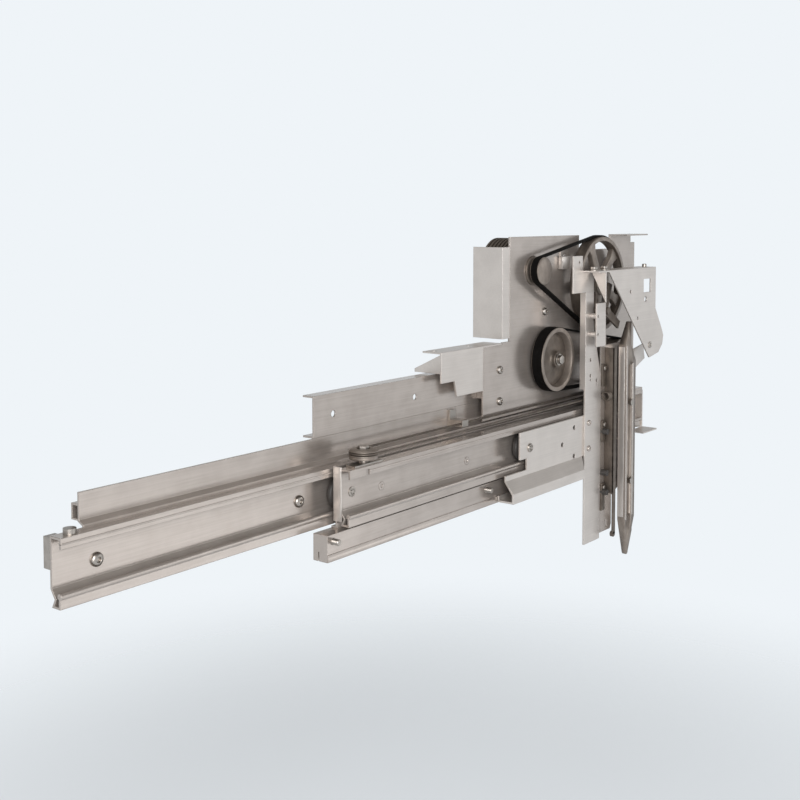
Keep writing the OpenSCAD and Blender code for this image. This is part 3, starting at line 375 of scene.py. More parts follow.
class Workbench:
    """Models pieces by hand tools and hands them to the frame. Sizes and places are in mm."""

    def __init__(self) -> None:
        """Builds every finish once."""
        self.materials: Dict[Slot, bpy.types.Material] = {s: f.build() for s, f in FINISHES.items()}

    @staticmethod
    def begin() -> None:
        """Leaves edit mode and deselects everything."""
        if bpy.context.object is not None and bpy.context.object.mode != "OBJECT":
            bpy.ops.object.mode_set(mode="OBJECT")
        bpy.ops.object.select_all(action="DESELECT")

    @staticmethod
    def seat(centre: Sequence[float], facing: Facing) -> Matrix:
        """Gives the move that sets an upright piece in its place.

        Args:
            centre: Where the piece's zero goes.
            facing: The way its front points.

        Returns:
            The move.
        """
        turn = Matrix.Rotation(math.pi / 2, 4, "X") if facing is Facing.LANDING else Matrix.Identity(4)
        return Matrix.Translation(Vector(centre) * MM) @ turn

    def trace(self, name: str, points: Sequence[Sequence[float]]) -> Piece:
        """Draws a line from point to point and stays in edit mode with all of it selected.

        Args:
            name: The piece's name.
            points: The places along the line.

        Returns:
            The new piece, a chain of edges.
        """
        self.begin()
        bpy.ops.mesh.primitive_plane_add(size=MM)
        piece = bpy.context.object
        piece.name = name
        bpy.ops.object.mode_set(mode="EDIT")
        bpy.ops.mesh.select_all(action="SELECT")
        bpy.ops.mesh.merge(type="CENTER")
        here = Vector(points[0]) * MM
        bpy.ops.transform.translate(value=here)
        for point in points[1:]:
            there = Vector(point) * MM
            bpy.ops.mesh.extrude_region_move(TRANSFORM_OT_translate={"value": there - here})
            here = there
        bpy.ops.mesh.select_all(action="SELECT")
        return piece

    def turned(self, name: str, profile: Sequence[Point], centre: Sequence[float],
               facing: Facing = Facing.LANDING, facets: Facets = Facets.SMALL) -> Piece:
        """Turns a profile around an axis, as on a lathe.

        Args:
            name: The piece's name.
            profile: Radius and distance towards the front, from one end of the profile to the other.
            centre: The axis point where the distance is zero.
            facing: The way the front points.
            facets: Facets around the axis.

        Returns:
            The turned piece.
        """
        piece = self.trace(name, [(radius, 0, front) for radius, front in profile])
        bpy.ops.mesh.spin(steps=int(facets), angle=2 * math.pi, center=(0, 0, 0), axis=(0, 0, 1))
        bpy.ops.mesh.select_all(action="SELECT")
        bpy.ops.mesh.remove_doubles(threshold=1e-6)
        bpy.ops.mesh.normals_make_consistent(inside=False)
        bpy.ops.object.mode_set(mode="OBJECT")
        piece.data.transform(self.seat(centre, facing))
        bpy.ops.object.shade_smooth_by_angle(angle=SMOOTH_ANGLE)
        return piece

    def turned_row(self, name: str, profile: Sequence[Point], places: Sequence[Place]) -> Piece:
        """Turns a profile at several places that face the landing, as one piece.

        Args:
            name: The piece's name.
            profile: Radius and distance towards the front.
            places: The axis points where the distance is zero.

        Returns:
            The joined piece.
        """
        first = self.turned(name, profile, places[0])
        shifts = [Vector(place) - Vector(places[0]) for place in places[1:]]
        return self.join(name, self.copies(first, shifts))

    def plate(self, name: str, outline: Sequence[Point], back: float, depth: float, bevel: float = 0.5
              ) -> Piece:
        """Cuts a plate in X and Z and gives it depth towards the landing.

        Args:
            name: The piece's name.
            outline: X and Z of the corners, in order.
            back: Y of the plate's back.
            depth: Thickness towards the landing.
            bevel: Width of the broken edges.

        Returns:
            The plate.
        """
        piece = self.trace(name, [(x, back, z) for x, z in outline])
        bpy.ops.mesh.edge_face_add()
        bpy.ops.mesh.extrude_region_move(TRANSFORM_OT_translate={"value": (0, -depth * MM, 0)})
        bpy.ops.mesh.select_all(action="SELECT")
        bpy.ops.mesh.normals_make_consistent(inside=False)
        bpy.ops.object.mode_set(mode="OBJECT")
        self.soften(piece, bevel)
        return piece

    def bar(self, name: str, low: Sequence[float], high: Sequence[float], bevel: float = 0.5) -> Piece:
        """Makes a bar with broken edges between two corners.

        Args:
            name: The piece's name.
            low: Lowest corner.
            high: Highest corner.
            bevel: Width of the broken edges.

        Returns:
            The bar.
        """
        self.begin()
        size = (Vector(high) - Vector(low)) * MM
        middle = (Vector(high) + Vector(low)) * MM / 2
        bpy.ops.mesh.primitive_cube_add(size=1, location=middle, scale=size)
        piece = bpy.context.object
        piece.name = name
        bpy.ops.object.transform_apply(location=True, rotation=True, scale=True)
        self.soften(piece, bevel)
        return piece

    def hexagon(self, name: str, across: float, height: float, centre: Sequence[float],
                facing: Facing = Facing.LANDING, bevel: float = 0.7) -> Piece:
        """Makes a hexagon head with a chamfered front.

        Args:
            name: The piece's name.
            across: Width across the corners.
            height: Height of the head.
            centre: Middle of the head's seat.
            facing: The way the front points.
            bevel: Width of the broken edges.

        Returns:
            The head.
        """
        self.begin()
        bpy.ops.mesh.primitive_cylinder_add(vertices=6, radius=across / 2 * MM, depth=height * MM,
                                            location=(0, 0, 0))
        piece = bpy.context.object
        piece.name = name
        piece.data.transform(self.seat(centre, facing) @ Matrix.Translation((0, 0, height / 2 * MM)))
        self.soften(piece, bevel)
        return piece

    @staticmethod
    def soften(piece: Piece, width: float) -> None:
        """Breaks the sharp edges of a piece.

        Args:
            piece: The piece.
            width: Width of the broken edges.
        """
        bpy.context.view_layer.objects.active = piece
        bevel = piece.modifiers.new("broken_edges", "BEVEL")
        bevel.width = width * MM
        bevel.segments = 2
        bevel.limit_method = "ANGLE"
        bpy.ops.object.modifier_apply(modifier=bevel.name)
        piece.select_set(True)
        bpy.ops.object.shade_smooth_by_angle(angle=SMOOTH_ANGLE)

    @staticmethod
    def copies(piece: Piece, shifts: Sequence[Sequence[float]]) -> List[Piece]:
        """Copies a piece, mesh and all, to other places.

        Args:
            piece: The piece that is copied.
            shifts: The way to each copy.

        Returns:
            The piece and its copies.
        """
        made = [piece]
        for number, shift in enumerate(shifts, 1):
            other = piece.copy()
            other.data = piece.data.copy()
            other.name = f"{piece.name}_{number}"
            other.data.transform(Matrix.Translation(Vector(shift) * MM))
            bpy.context.scene.collection.objects.link(other)
            made.append(other)
        return made

    def cut(self, piece: Piece, tool: Piece) -> None:
        """Cuts a tool's shape out of a piece and removes the tool.

        Args:
            piece: The piece that is cut.
            tool: The shape that is taken away.
        """
        self.begin()
        bpy.context.view_layer.objects.active = piece
        piece.select_set(True)
        knife = piece.modifiers.new("cut", "BOOLEAN")
        knife.object = tool
        knife.operation = "DIFFERENCE"
        bpy.ops.object.modifier_apply(modifier=knife.name)
        bpy.data.objects.remove(tool, do_unlink=True)

    def join(self, name: str, pieces: Sequence[Piece]) -> Piece:
        """Joins pieces that are fixed to each other into one.

        Args:
            name: The joined piece's name.
            pieces: The pieces, at least two.

        Returns:
            The joined piece.
        """
        self.begin()
        for piece in pieces:
            piece.select_set(True)
        bpy.context.view_layer.objects.active = pieces[0]
        bpy.ops.object.join()
        pieces[0].name = name
        return pieces[0]

    def give(self, piece: Piece, body: str, slot: Slot, nodes: Sequence[str] = ()) -> None:
        """Dresses a piece and hands it to the frame.

        Args:
            piece: The finished piece.
            body: The body that it moves with.
            slot: The record's slot that it takes its finish from.
            nodes: The nodes that it stands for.
        """
        piece.data.materials.clear()
        piece.data.materials.append(self.materials[slot])
        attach(piece, body)
        if nodes:
            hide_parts(*nodes)
        LOG.info("%s rides on %s", piece.name, body)


def dress_nodes(bench: Workbench) -> None:
    """Gives every node of the frame the finish of its slot.

    Args:
        bench: The workbench that holds the finishes.
    """
    for entry in frame["record"]["subparts"]:
        node = frame["nodes"][entry["node"]]
        for holder in node.material_slots:
            holder.material = bench.materials[Slot(entry["material_slot"])]


@dataclass(frozen=True)
class PanScrew:
    """A pan-head screw with a round drive recess."""

    shank_r: float
    shank_l: float
    head_r: float
    head_h: float

    def profile(self) -> List[Point]:
        """Gives the profile from the shank's end to the bottom of the recess."""
        r = self.head_r
        h = self.head_h
        return [
            (0, -self.shank_l), (self.shank_r, -self.shank_l), (self.shank_r, 0), (r, 0), (r, 0.22 * h),
            (0.96 * r, 0.45 * h), (0.86 * r, 0.7 * h), (0.7 * r, 0.88 * h), (0.5 * r, 0.98 * h),
            (0.42 * r, h), (0.38 * r, 0.93 * h), (0.35 * r, 0.45 * h), (0, 0.4 * h)]


@dataclass(frozen=True)
class LipHem:
    """The rolled lower edge of a track's lip, from one end in X to the other."""

    ends: Point
    face: float
    low: float = -71.0
    proud: float = 0.7
    height: float = 2.4
    sheet: float = 2.5

    def build(self, bench: Workbench, name: str) -> Piece:
        """Rolls the hem along the lip.

        Args:
            bench: The workbench that makes it.
            name: The hem's name.

        Returns:
            The hem.
        """
        left, right = self.ends
        base = self.low - self.proud
        return bench.bar(name, (left, self.face - self.proud, base),
                         (right, self.face + self.sheet, base + self.height), self.proud)


@dataclass
class Header:
    """The fixed beam's screws and small plates."""

    bench: Workbench
    lip: LipHem = LipHem((-540, 775), -28.5)
    track_screw: PanScrew = PanScrew(4, 9, 8, 4.5)
    screw_first: float = -484.0
    screw_pitch: float = 315.0
    screw_count: int = 4
    screw_z: float = -101.4
    rail_face: float = -12.5
    plate_face: float = -20.5
    plate_screw: PanScrew = PanScrew(3, 6, 6.5, 4)
    plate_screws: Tuple[Point, ...] = ((424, 104), (288, 20), (288, -30), (700, -20))
    block_x: Point = (468, 494)
    block_z: Point = (173, 195)
    block_front: float = -29.0

    def build(self) -> None:
        """Builds the header's pieces."""
        self.bench.give(self.lip.build(self.bench, "header_lip_hem"), "header", Slot.ZINC)
        self.track_screws()
        self.plate_fixings()
        self.boss()

    def track_screws(self) -> None:
        """Turns the pan-head screws of the fixed track."""
        places = [(self.screw_first + self.screw_pitch * number, self.rail_face, self.screw_z)
                  for number in range(self.screw_count)]
        screws = self.bench.turned_row("track_screws_dressed", self.track_screw.profile(), places)
        self.bench.give(screws, "header", Slot.BRIGHT_STEEL, ["track_screws"])

    def plate_fixings(self) -> None:
        """Turns the drive plate's screws."""
        places = [(x, self.plate_face, z) for x, z in self.plate_screws]
        screws = self.bench.turned_row("plate_screws_dressed", self.plate_screw.profile(), places)
        self.bench.give(screws, "header", Slot.BRIGHT_STEEL, ["plate_screws"])

    def boss(self) -> None:
        """Sets the small sensor block between the runs of the motor belt."""
        low = (self.block_x[0], self.block_front, self.block_z[0])
        high = (self.block_x[1], self.plate_face, self.block_z[1])
        self.bench.give(self.bench.bar("sensor_block", low, high, bevel=1.0), "header", Slot.PALE_ZINC)


@dataclass
class Drive:
    """The turning pieces on the drive plate."""

    bench: Workbench
    idler: Place = (425, -26.5, 25)
    washer_seat: float = 21.3
    washer_front: float = 23.3
    motor: Place = (386, -28.5, 174)
    wheel: Place = (579, -28.5, 144)
    spokes: int = 5
    spoke_angle: float = 116.0
    spoke_inset: float = 4.0
    spoke_depth: float = 10.0

    def build(self) -> None:
        """Builds the pulleys and the wheel."""
        self.idler_pulley()
        self.idler_bolt()
        self.motor_pulley()
        self.drive_wheel()

    def ring(self, name: str, profile: Sequence[Point], centre: Place) -> Piece:
        """Turns a large ring that faces the landing.

        Args:
            name: The ring's name.
            profile: Radius and distance towards the front.
            centre: The axis point where the distance is zero.

        Returns:
            The ring.
        """
        return self.bench.turned(name, profile, centre, Facing.LANDING, Facets.LARGE)

    def idler_pulley(self) -> None:
        """Turns the left pulley with its lighter rim and its dished web."""
        rim = [
            (45, 2), (46, 0.4), (51.6, 0), (52, 0.6), (52, 1.9), (51, 2), (51, 19), (52.6, 19.1),
            (53, 19.6), (53, 20.6), (52.6, 21), (47.2, 21), (46.2, 20.6), (45.4, 19), (44.6, 14), (44, 9),
            (44, 6), (45, 2)]
        web = [
            (5.05, 0), (13, 0), (13, 6), (44.2, 6), (44.2, 9.5), (42, 10.2), (30, 11.2), (20, 11.6),
            (15.5, 12.6), (13.6, 14.4), (13, 17), (13, 20.2), (12.2, 21), (5.05, 21), (5.05, 0)]
        outer = self.ring("idler_pulley_rim", rim, self.idler)
        self.bench.give(outer, "left_idler", Slot.CAST_GREY, ["left_pulley"])
        self.bench.give(self.ring("idler_pulley_web", web, self.idler), "left_idler", Slot.DARK_STEEL)

    def idler_bolt(self) -> None:
        """Turns the idler's axle and adds its washer and hexagon head."""
        x, back, z = self.idler
        seat = self.washer_seat
        front = self.washer_front
        axle = [
            (0, -15), (9, -15), (9, -9), (5, -9), (5, -6), (10, -6), (10, -0.3), (5, -0.3), (5, seat),
            (0, seat)]
        washer = [(5, seat), (10, seat), (10, front - 0.5), (9.4, front), (5, front), (5, seat)]
        parts = [
            self.bench.turned("idler_axle_rod", axle, self.idler),
            self.bench.turned("idler_washer", washer, self.idler),
            self.bench.hexagon("idler_head", across=16, height=5, centre=(x, back - front, z))]
        self.bench.give(self.bench.join("idler_bolt", parts), "header", Slot.BRIGHT_STEEL, ["idler_axle"])

    def motor_pulley(self) -> None:
        """Turns the motor pulley: a flanged seat in the dark finish as painted shadow beside the belt, and a
        shallow domed front over the shaft's end.
        """
        seat = [(6.5, 0), (22.5, 0), (22.5, 1.9), (20.5, 2), (20.5, 13), (6.5, 13), (6.5, 0)]
        dome = [
            (6.5, 13), (20.5, 13), (22.1, 13.1), (22.5, 13.6), (22.5, 14.8), (22, 15.2), (18, 16.1),
            (13, 17), (8, 17.6), (0, 17.9), (0, 17.2), (6.5, 17.1), (6.5, 13)]
        front = self.bench.turned("motor_pulley_dressed", dome, self.motor, Facing.LANDING, Facets.MEDIUM)
        self.bench.give(front, "motor_rotor", Slot.CAST_GREY, ["motor_pulley"])
        # The seat's rear flange is dark as painted shadow beside the belt, not for its own colour.
        rear = self.bench.turned("motor_pulley_seat_painted_shadow", seat, self.motor, Facing.LANDING, Facets.MEDIUM)
        self.bench.give(rear, "motor_rotor", Slot.DARK_STEEL)

    def drive_wheel(self) -> None:
        """Turns the wheel's rim, dark all over as painted shade for the shadow inside it, its machined face
        and its hub, and sets the spokes between them.
        """
        rim = [
            (74.6, 3), (75.6, 0.6), (77, 0), (84.5, 0), (85, 0.5), (85, 1.5), (83, 1.7), (83, 17.2),
            (82.2, 18), (77, 18), (75.6, 17.4), (74.6, 15), (73.8, 9), (74.6, 3)]
        face = [(74.8, 16), (75.6, 17.4), (82.6, 17.4), (82.6, 18), (82, 18.4), (76, 18.4), (74.8, 16)]
        hub = [
            (7.5, 0), (19, 0), (20, 1), (20, 4), (22, 6), (22, 12), (20, 14), (20, 17), (19, 18), (7.5, 18),
            (7.5, 0)]
        # The rim takes the dark finish as painted shade: its dark inner wall stands for the shadow inside
        # the rim.
        self.bench.give(self.ring("drive_wheel_rim_painted_shade", rim, self.wheel), "wheel", Slot.DARK_STEEL)
        parts = [self.ring("wheel_face", face, self.wheel), self.bench.turned("wheel_hub", hub, self.wheel)]
        parts += [self.spoke(number) for number in range(self.spokes)]
        wheel = self.bench.join("drive_wheel_dressed", parts)
        self.bench.give(wheel, "wheel", Slot.CAST_GREY, ["drive_wheel"])

    def spoke(self, number: int) -> Piece:
        """Cuts one spoke, narrow in the middle and wide at both ends.

        Args:
            number: Its number around the wheel.

        Returns:
            The spoke.
        """
        half = [(18, 11), (30, 9), (60, 8), (75.2, 13)]
        corners = [(along, -across) for along, across in half] + half[::-1]
        turn = math.radians(self.spoke_angle + 360 * number / self.spokes)
        out = Vector((math.cos(turn), math.sin(turn)))
        side = Vector((-out.y, out.x))
        x, back, z = self.wheel
        outline = [tuple(Vector((x, z)) + out * along + side * across) for along, across in corners]
        rear = back - self.spoke_inset
        return self.bench.plate(f"wheel_spoke_{number}", outline, rear, self.spoke_depth, bevel=1.5)


@dataclass
class SlowCarriage:
    """The slow carriage's screws, studs, sheaves and end plate."""

    bench: Workbench
    lip: LipHem = LipHem((-81.5, 680), -59.0)
    track_face: float = -43.0
    screw_x: Tuple[float, ...] = (-38, 164.67, 367.33, 570)
    screw_z: float = -101.4
    axle_end: Point = (-100, -97.4)
    channel_face: float = -50.5
    stud_x: Point = (-146, 206)
    stud_z: float = -152.0
    thread_rings: int = 7
    thread_pitch: float = 1.25
    sheave_x: Point = (-77, 640)
    sheave_y: float = -44.0
    sheave_z: float = -52.5
    end_box: Box = ((-124.5, -45.5, -133), (-122, -32, -61))
    fold_x: Point = (-156.5, 679)
    fold_z: Point = (-178, -168)
    fold_sheet: float = 0.9

    def build(self) -> None:
        """Builds the slow carriage's pieces."""
        self.bench.give(self.lip.build(self.bench, "slow_lip_hem"), "slow", Slot.ZINC)
        self.screws()
        self.axle_rivet()
        self.studs()
        self.sheaves()
        plate = self.bench.bar("slow_end_plate", *self.end_box, bevel=0.6)
        self.bench.give(plate, "slow", Slot.PALE_ZINC)
        self.channel_fold()

    def screws(self) -> None:
        """Turns the flush screws of the slow track."""
        shape = [
            (0, -9.5), (3, -9.5), (3, -1), (5.6, 0), (6, 0.3), (5.8, 0.6), (2.6, 0.6), (2.4, -0.6),
            (0, -0.7)]
        places = [(x, self.track_face, self.screw_z) for x in self.screw_x]
        row = self.bench.turned_row("slow_screws_dressed", shape, places)
        self.bench.give(row, "slow", Slot.ZINC, ["slow_screws"])

    def axle_rivet(self) -> None:
        """Turns the left roller's axle end on the slow track."""
        x, z = self.axle_end
        shape = [
            (0, 0), (6.5, 0), (6.5, 0.8), (5.6, 1.3), (4.2, 1.3), (4, 0.6), (2.8, 0.6), (2.4, 1.6), (0, 1.8)]
        rivet = self.bench.turned("slow_axle_end", shape, (x, self.track_face, z))
        self.bench.give(rivet, "slow", Slot.BRIGHT_STEEL)

    def studs(self) -> None:
        """Turns the threaded panel studs."""
        thread: List[Point] = [(0, -5.5), (5.4, -5.5), (5.4, -2.5), (4.6, -2.5), (4.6, 0), (4, 0.2), (4, 1)]
        for ring in range(self.thread_rings):
            start = 1.4 + self.thread_pitch * ring
            thread += [(4, start), (3.5, start + 0.55)]
        thread += [(4, 10.2), (3.3, 11), (0, 11)]
        places = [(x, self.channel_face, self.stud_z) for x in self.stud_x]
        pair = self.bench.turned_row("panel_studs", thread, places)
        self.bench.give(pair, "slow", Slot.BRIGHT_STEEL, ["slow_studs"])

    def sheaves(self) -> None:
        """Turns the two grooved rope sheaves."""
        shape = [
            (6.5, 0), (14, 0), (14, -4.5), (18.6, -4.5), (19.4, -3.7), (19.4, -0.5), (20, 0), (20, 1.2),
            (16.6, 1.8), (16.6, 5.2), (20, 5.8), (20, 6.6), (19.2, 7.4), (16, 8.8), (12, 9.4), (9.5, 9.4),
            (9.5, 7), (6.5, 7), (6.5, 0)]
        for side, x in zip(("left", "right"), self.sheave_x):
            sheave = self.bench.turned(f"sheave_{side}_dressed", shape, (x, self.sheave_y, self.sheave_z),
                                       Facing.UP, Facets.MEDIUM)
            self.bench.give(sheave, f"sheave_{side}", Slot.CAST_GREY, [f"rope_sheave_{side}"])

    def channel_fold(self) -> None:
        """Lays the folded lower edge along the channel's front."""
        low = (self.fold_x[0], self.channel_face - self.fold_sheet, self.fold_z[0])
        high = (self.fold_x[1], self.channel_face, self.fold_z[1])
        self.bench.give(self.bench.bar("channel_fold", low, high, bevel=0.4), "slow", Slot.ZINC)


@dataclass
class FastCarriage:
    """The fast carriage's rivet, the coupler's screws, clamps and fixed vane, and the head's bolts."""

    bench: Workbench
    axle_end: Place = (305, -67, -101.4)
    coupler_screw: PanScrew = PanScrew(3, 6, 5, 3)
    coupler_screws: Tuple[Point, ...] = ((490, -88), (490, -132), (598, -88), (598, -132))
    back_face: float = -70.0
    bolt: Place = (477, -84, 172)
    bolt_pitch: float = 35.0
    washer_t: float = 1.6
    head_stud: Place = (664, -84, 172)
    head_screw: Place = (657.7, -100, 32.5)
    bracket_sheet: float = 2.5
    vane_web: Box = ((545, -88, -218), (547.5, -70, 36))
    vane_front: Box = ((545, -88, -290), (555, -85.5, 36))
    vane_tip: Place = (550, -82, -290)
    clamp_x: Point = (531.5, 544)
    clamp_z: Tuple[Point, ...] = ((-30, 8), (-128, -90), (-248, -200))
    clamp_t: float = 3.0
    clamp_edge: float = 7.0

    def build(self) -> None:
        """Builds the fast carriage's pieces."""
        self.rivet()
        self.screws()
        self.head_bolts()
        self.side_bracket()
        self.fixed_vane()
        self.clamps()

    def rivet(self) -> None:
        """Turns the left roller's axle end on the fast plate."""
        shape = [(0, 0), (7, 0), (7, 1.2), (6, 2.2), (4.6, 2.2), (4.2, 1.2), (3, 1.2), (2.6, 2.4), (0, 2.6)]
        self.bench.give(self.bench.turned("fast_axle_end", shape, self.axle_end), "fast", Slot.BRIGHT_STEEL)

    def screws(self) -> None:
        """Turns the screws that hold the post and the back plate."""
        places = [(x, self.back_face, z) for x, z in self.coupler_screws]
        screws = self.bench.turned_row("coupler_screws_dressed", self.coupler_screw.profile(), places)
        self.bench.give(screws, "fast", Slot.ZINC, ["coupler_screws"])

    def head_bolts(self) -> None:
        """Sets the bolts and the stud on the head's top flange, and the screw on its front plate."""
        x, y, top = self.bolt
        washer = [(0, 0), (8, 0), (8, 1.2), (7.4, self.washer_t), (0, self.washer_t)]
        pin = [(0, 0), (4, 0), (4, 4.5), (3.2, 5.4), (0, 5.4)]
        flush = [(0, 0), (6, 0), (6, 0.9), (5.2, 1.4), (2.6, 1.4), (2.2, 0.4), (0, 0.4)]
        base = self.bench.turned("head_washer", washer, self.bolt, Facing.UP)
        seat = (x, y, top + self.washer_t)
        head = self.bench.hexagon("head_bolt", across=13, height=5, centre=seat, facing=Facing.UP)
        pair = self.bench.copies(self.bench.join("head_bolt", [base, head]), [(self.bolt_pitch, 0, 0)])
        stud = self.bench.turned("head_stud", pin, self.head_stud, Facing.UP)
        screw = self.bench.turned("head_screw", flush, self.head_screw)
        self.bench.give(self.bench.join("head_bolts", [*pair, stud, screw]), "fast", Slot.BRIGHT_STEEL)

    def side_bracket(self) -> None:
        """Cuts the small bracket that looks out to the right of the vane."""
        outline = [(608, 20), (651, 24), (687, 30), (694, 3), (660, -10), (608, -8)]
        piece = self.bench.plate("coupler_side_bracket", outline, self.back_face, self.bracket_sheet,
                                 bevel=0.4)
        self.bench.give(piece, "fast", Slot.PALE_ZINC)

    def fixed_vane(self) -> None:
        """Folds the fixed vane and rounds its lower tip."""
        tip = [(0, 0), (4.4, 0), (5, 0.6), (5, 5.4), (4.4, 6), (0, 6)]
        parts = [
            self.bench.bar("fixed_vane_web", *self.vane_web),
            self.bench.bar("fixed_vane_front", *self.vane_front),
            self.bench.turned("fixed_vane_tip", tip, self.vane_tip)]
        vane = self.bench.join("fixed_vane_dressed", parts)
        self.bench.give(vane, "fast", Slot.DARK_STEEL, ["fixed_vane_bar"])

    def clamps(self) -> None:
        """Lays the clamp plates on the back plate, each with its hexagon screw."""
        left, right = self.clamp_x
        front = self.back_face - self.clamp_t
        plates = []
        heads = []
        for number, (low, high) in enumerate(self.clamp_z):
            corners = (left, front, low), (right, self.back_face, high)
            plates.append(self.bench.bar(f"clamp_{number}", *corners, bevel=0.8))
            place = ((left + right) / 2, front, high - self.clamp_edge)
            heads.append(self.bench.hexagon(f"clamp_head_{number}", across=9, height=3.2, centre=place))
        self.bench.give(self.bench.join("coupler_clamps", plates), "fast", Slot.DARK_STEEL)
        self.bench.give(self.bench.join("coupler_clamp_heads", heads), "fast", Slot.BRIGHT_STEEL)


@dataclass
class Vane:
    """The moving vane: a folded tray with a groove along its front and thin tips."""

    bench: Workbench
    left: float = 585.0
    right: float = 625.0
    low: float = -272.0
    shoulder: float = 8.0
    high: float = 37.0
    front: float = -90.0
    sheet: float = 2.5
    flange: float = 14.0
    tip_x: float = 595.0
    tip_r: float = 5.0
    tip_low: float = -331.0
    tip_high: float = 78.0
    tip_depth: float = 7.0
    neck_x: Point = (598, 605)
    hollow_x: Point = (594, 598)
    hollow_z: Point = (-316, 34)
    groove_x: Point = (591, 608)
    groove_z: Point = (-266, 2)
    groove_depth: float = 4.5
    step_x: float = 614.0
    step_z: Point = (-312, 30)
    step_depth: float = 1.2
    slot_x: Point = (596, 603)
    slots: Tuple[Point, ...] = ((-133, -74), (-193, -140))
    rib_left_z: Point = (-275, 36)
    rib_right_z: Point = (-268, 4)
    rib_t: float = 1.2
    side_y: float = -88.0
    side_z: Point = (-268, 34)
    side_t: float = 0.8
    reach: float = 5.0
    wedge: Place = (20, 60, 200)

    def build(self) -> None:
        """Builds the vane's tray, ribs and a side strip in the pale finish as painted highlight on its left
        face.
        """
        self.tray()
        self.ribs()
        # The side strip is a pale sheet on the vane's left face, a painted highlight for the light falling
        # on that side.
        low = (self.left - self.side_t, self.side_y, self.side_z[0])
        side = self.bench.bar("vane_side_painted_highlight", low, (self.left, self.rear(), self.side_z[1]), bevel=0.3)
        self.bench.give(side, "vane", Slot.PALE_ZINC)

    def rear(self) -> float:
        """Gives Y of the flanges' rear edge."""
        return self.front + self.flange

    def outline(self) -> List[Point]:
        """Gives the vane's outline from the lower tip around to the left."""
        angles = [math.radians(angle) for angle in range(180, 361, 20)]
        tip = [(self.tip_x + self.tip_r * math.cos(a), self.tip_low + self.tip_r * math.sin(a))
               for a in angles]
        neck_left, neck_right = self.neck_x
        return [*tip, (self.right, self.low), (self.right, self.shoulder), (neck_right, self.high),
                (neck_right, self.tip_high), (neck_left, self.tip_high), (self.left, self.high),
                (self.left, self.low)]

    def hollow(self, floor: float) -> Piece:
        """Makes the shape that is taken out of the tray's back.

        Args:
            floor: Y of the hollow's floor.

        Returns:
            The shape.
        """
        left = self.left + self.sheet
        right = self.right - self.sheet
        base, top = self.hollow_z
        outline = [
            (left, self.low), (self.hollow_x[0], base), (self.hollow_x[1], base), (right, self.low),
            (right, self.shoulder - self.sheet), (self.neck_x[1] - self.sheet, top), (left, top)]
        back = self.rear() + 1
        return self.bench.plate("hollow", outline, back, back - floor, bevel=0.2)

    def thin_tip(self, tray: Piece, knee: float, end: float) -> None:
        """Cuts a wedge off the tray's back, from its full depth at the knee to thin sheet at the end.

        Args:
            tray: The vane's tray.
            knee: Z where the tip begins.
            end: Z where the tip ends.
        """
        rear = self.rear()
        wide, deep, tall = self.wedge
        far = knee + math.copysign(tall, end - knee)
        tool = self.bench.bar("wedge", (self.left - wide, rear, min(knee, far)),
                              (self.right + wide, rear + deep, max(knee, far)), bevel=0.1)
        slope = math.atan2(self.flange - self.tip_depth, end - knee)
        lean = slope if end > knee else slope - math.pi
        hinge = Matrix.Translation(Vector((0, rear, knee)) * MM)
        tool.data.transform(hinge @ Matrix.Rotation(lean, 4, "X") @ hinge.inverted())
        self.bench.cut(tray, tool)

    def tray(self) -> None:
        """Folds the tray, cuts its groove, step and slots, and thins its tips."""
        bench = self.bench
        ahead = self.front - self.reach
        floor = self.front + self.groove_depth + self.sheet
        tray = bench.plate("vane_tray", self.outline(), self.rear(), self.flange, bevel=0.4)
        bench.cut(tray, self.hollow(floor))
        low = (self.groove_x[0], ahead, self.groove_z[0])
        high = (self.groove_x[1], self.front + self.groove_depth, self.groove_z[1])
        bench.cut(tray, bench.bar("groove", low, high, bevel=0.3))
        low = (self.step_x, ahead, self.step_z[0])
        high = (self.right + self.reach, self.front + self.step_depth, self.step_z[1])
        bench.cut(tray, bench.bar("step", low, high, bevel=0.1))
        for bottom, top in self.slots:
            low = (self.slot_x[0], ahead, bottom)
            high = (self.slot_x[1], floor + self.reach, top)
            bench.cut(tray, bench.bar("slot", low, high, bevel=0.3))
        self.thin_tip(tray, self.low, self.tip_low)
        self.thin_tip(tray, self.high, self.tip_high)
        bench.give(tray, "vane", Slot.CAST_GREY, ["moving_vane"])

    def ribs(self) -> None:
        """Lays a rib along each side of the groove."""
        left, right = self.groove_x
        base, top = self.rib_left_z
        outline = [(self.left, self.low), (left, base), (left, top), (self.left, top)]
        low = (right, self.front - self.rib_t, self.rib_right_z[0])
        high = (self.step_x, self.front, self.rib_right_z[1])
        parts = [
            self.bench.plate("vane_rib_left", outline, self.front, self.rib_t, bevel=0.4),
            self.bench.bar("vane_rib_right", low, high, bevel=0.4)]
        self.bench.give(self.bench.join("vane_ribs", parts), "vane", Slot.ZINC)


@dataclass(frozen=True)
class Softbox:
    """A studio lamp that points at the middle of the object. Sizes are in metres, power is in watts."""

    name: str
    place: Place
    size: Point
    power: float
    aim: Place = (0.15, -0.04, 0.0)

    def hang(self) -> None:
        """Hangs the lamp."""
        data = bpy.data.lights.new(self.name, "AREA")
        data.shape = "RECTANGLE"
        data.size, data.size_y = self.size
        data.energy = self.power
        lamp = bpy.data.objects.new(self.name, data)
        bpy.context.scene.collection.objects.link(lamp)
        lamp.location = self.place
        lamp.rotation_euler = (Vector(self.aim) - Vector(self.place)).to_track_quat("-Z", "Y").to_euler()


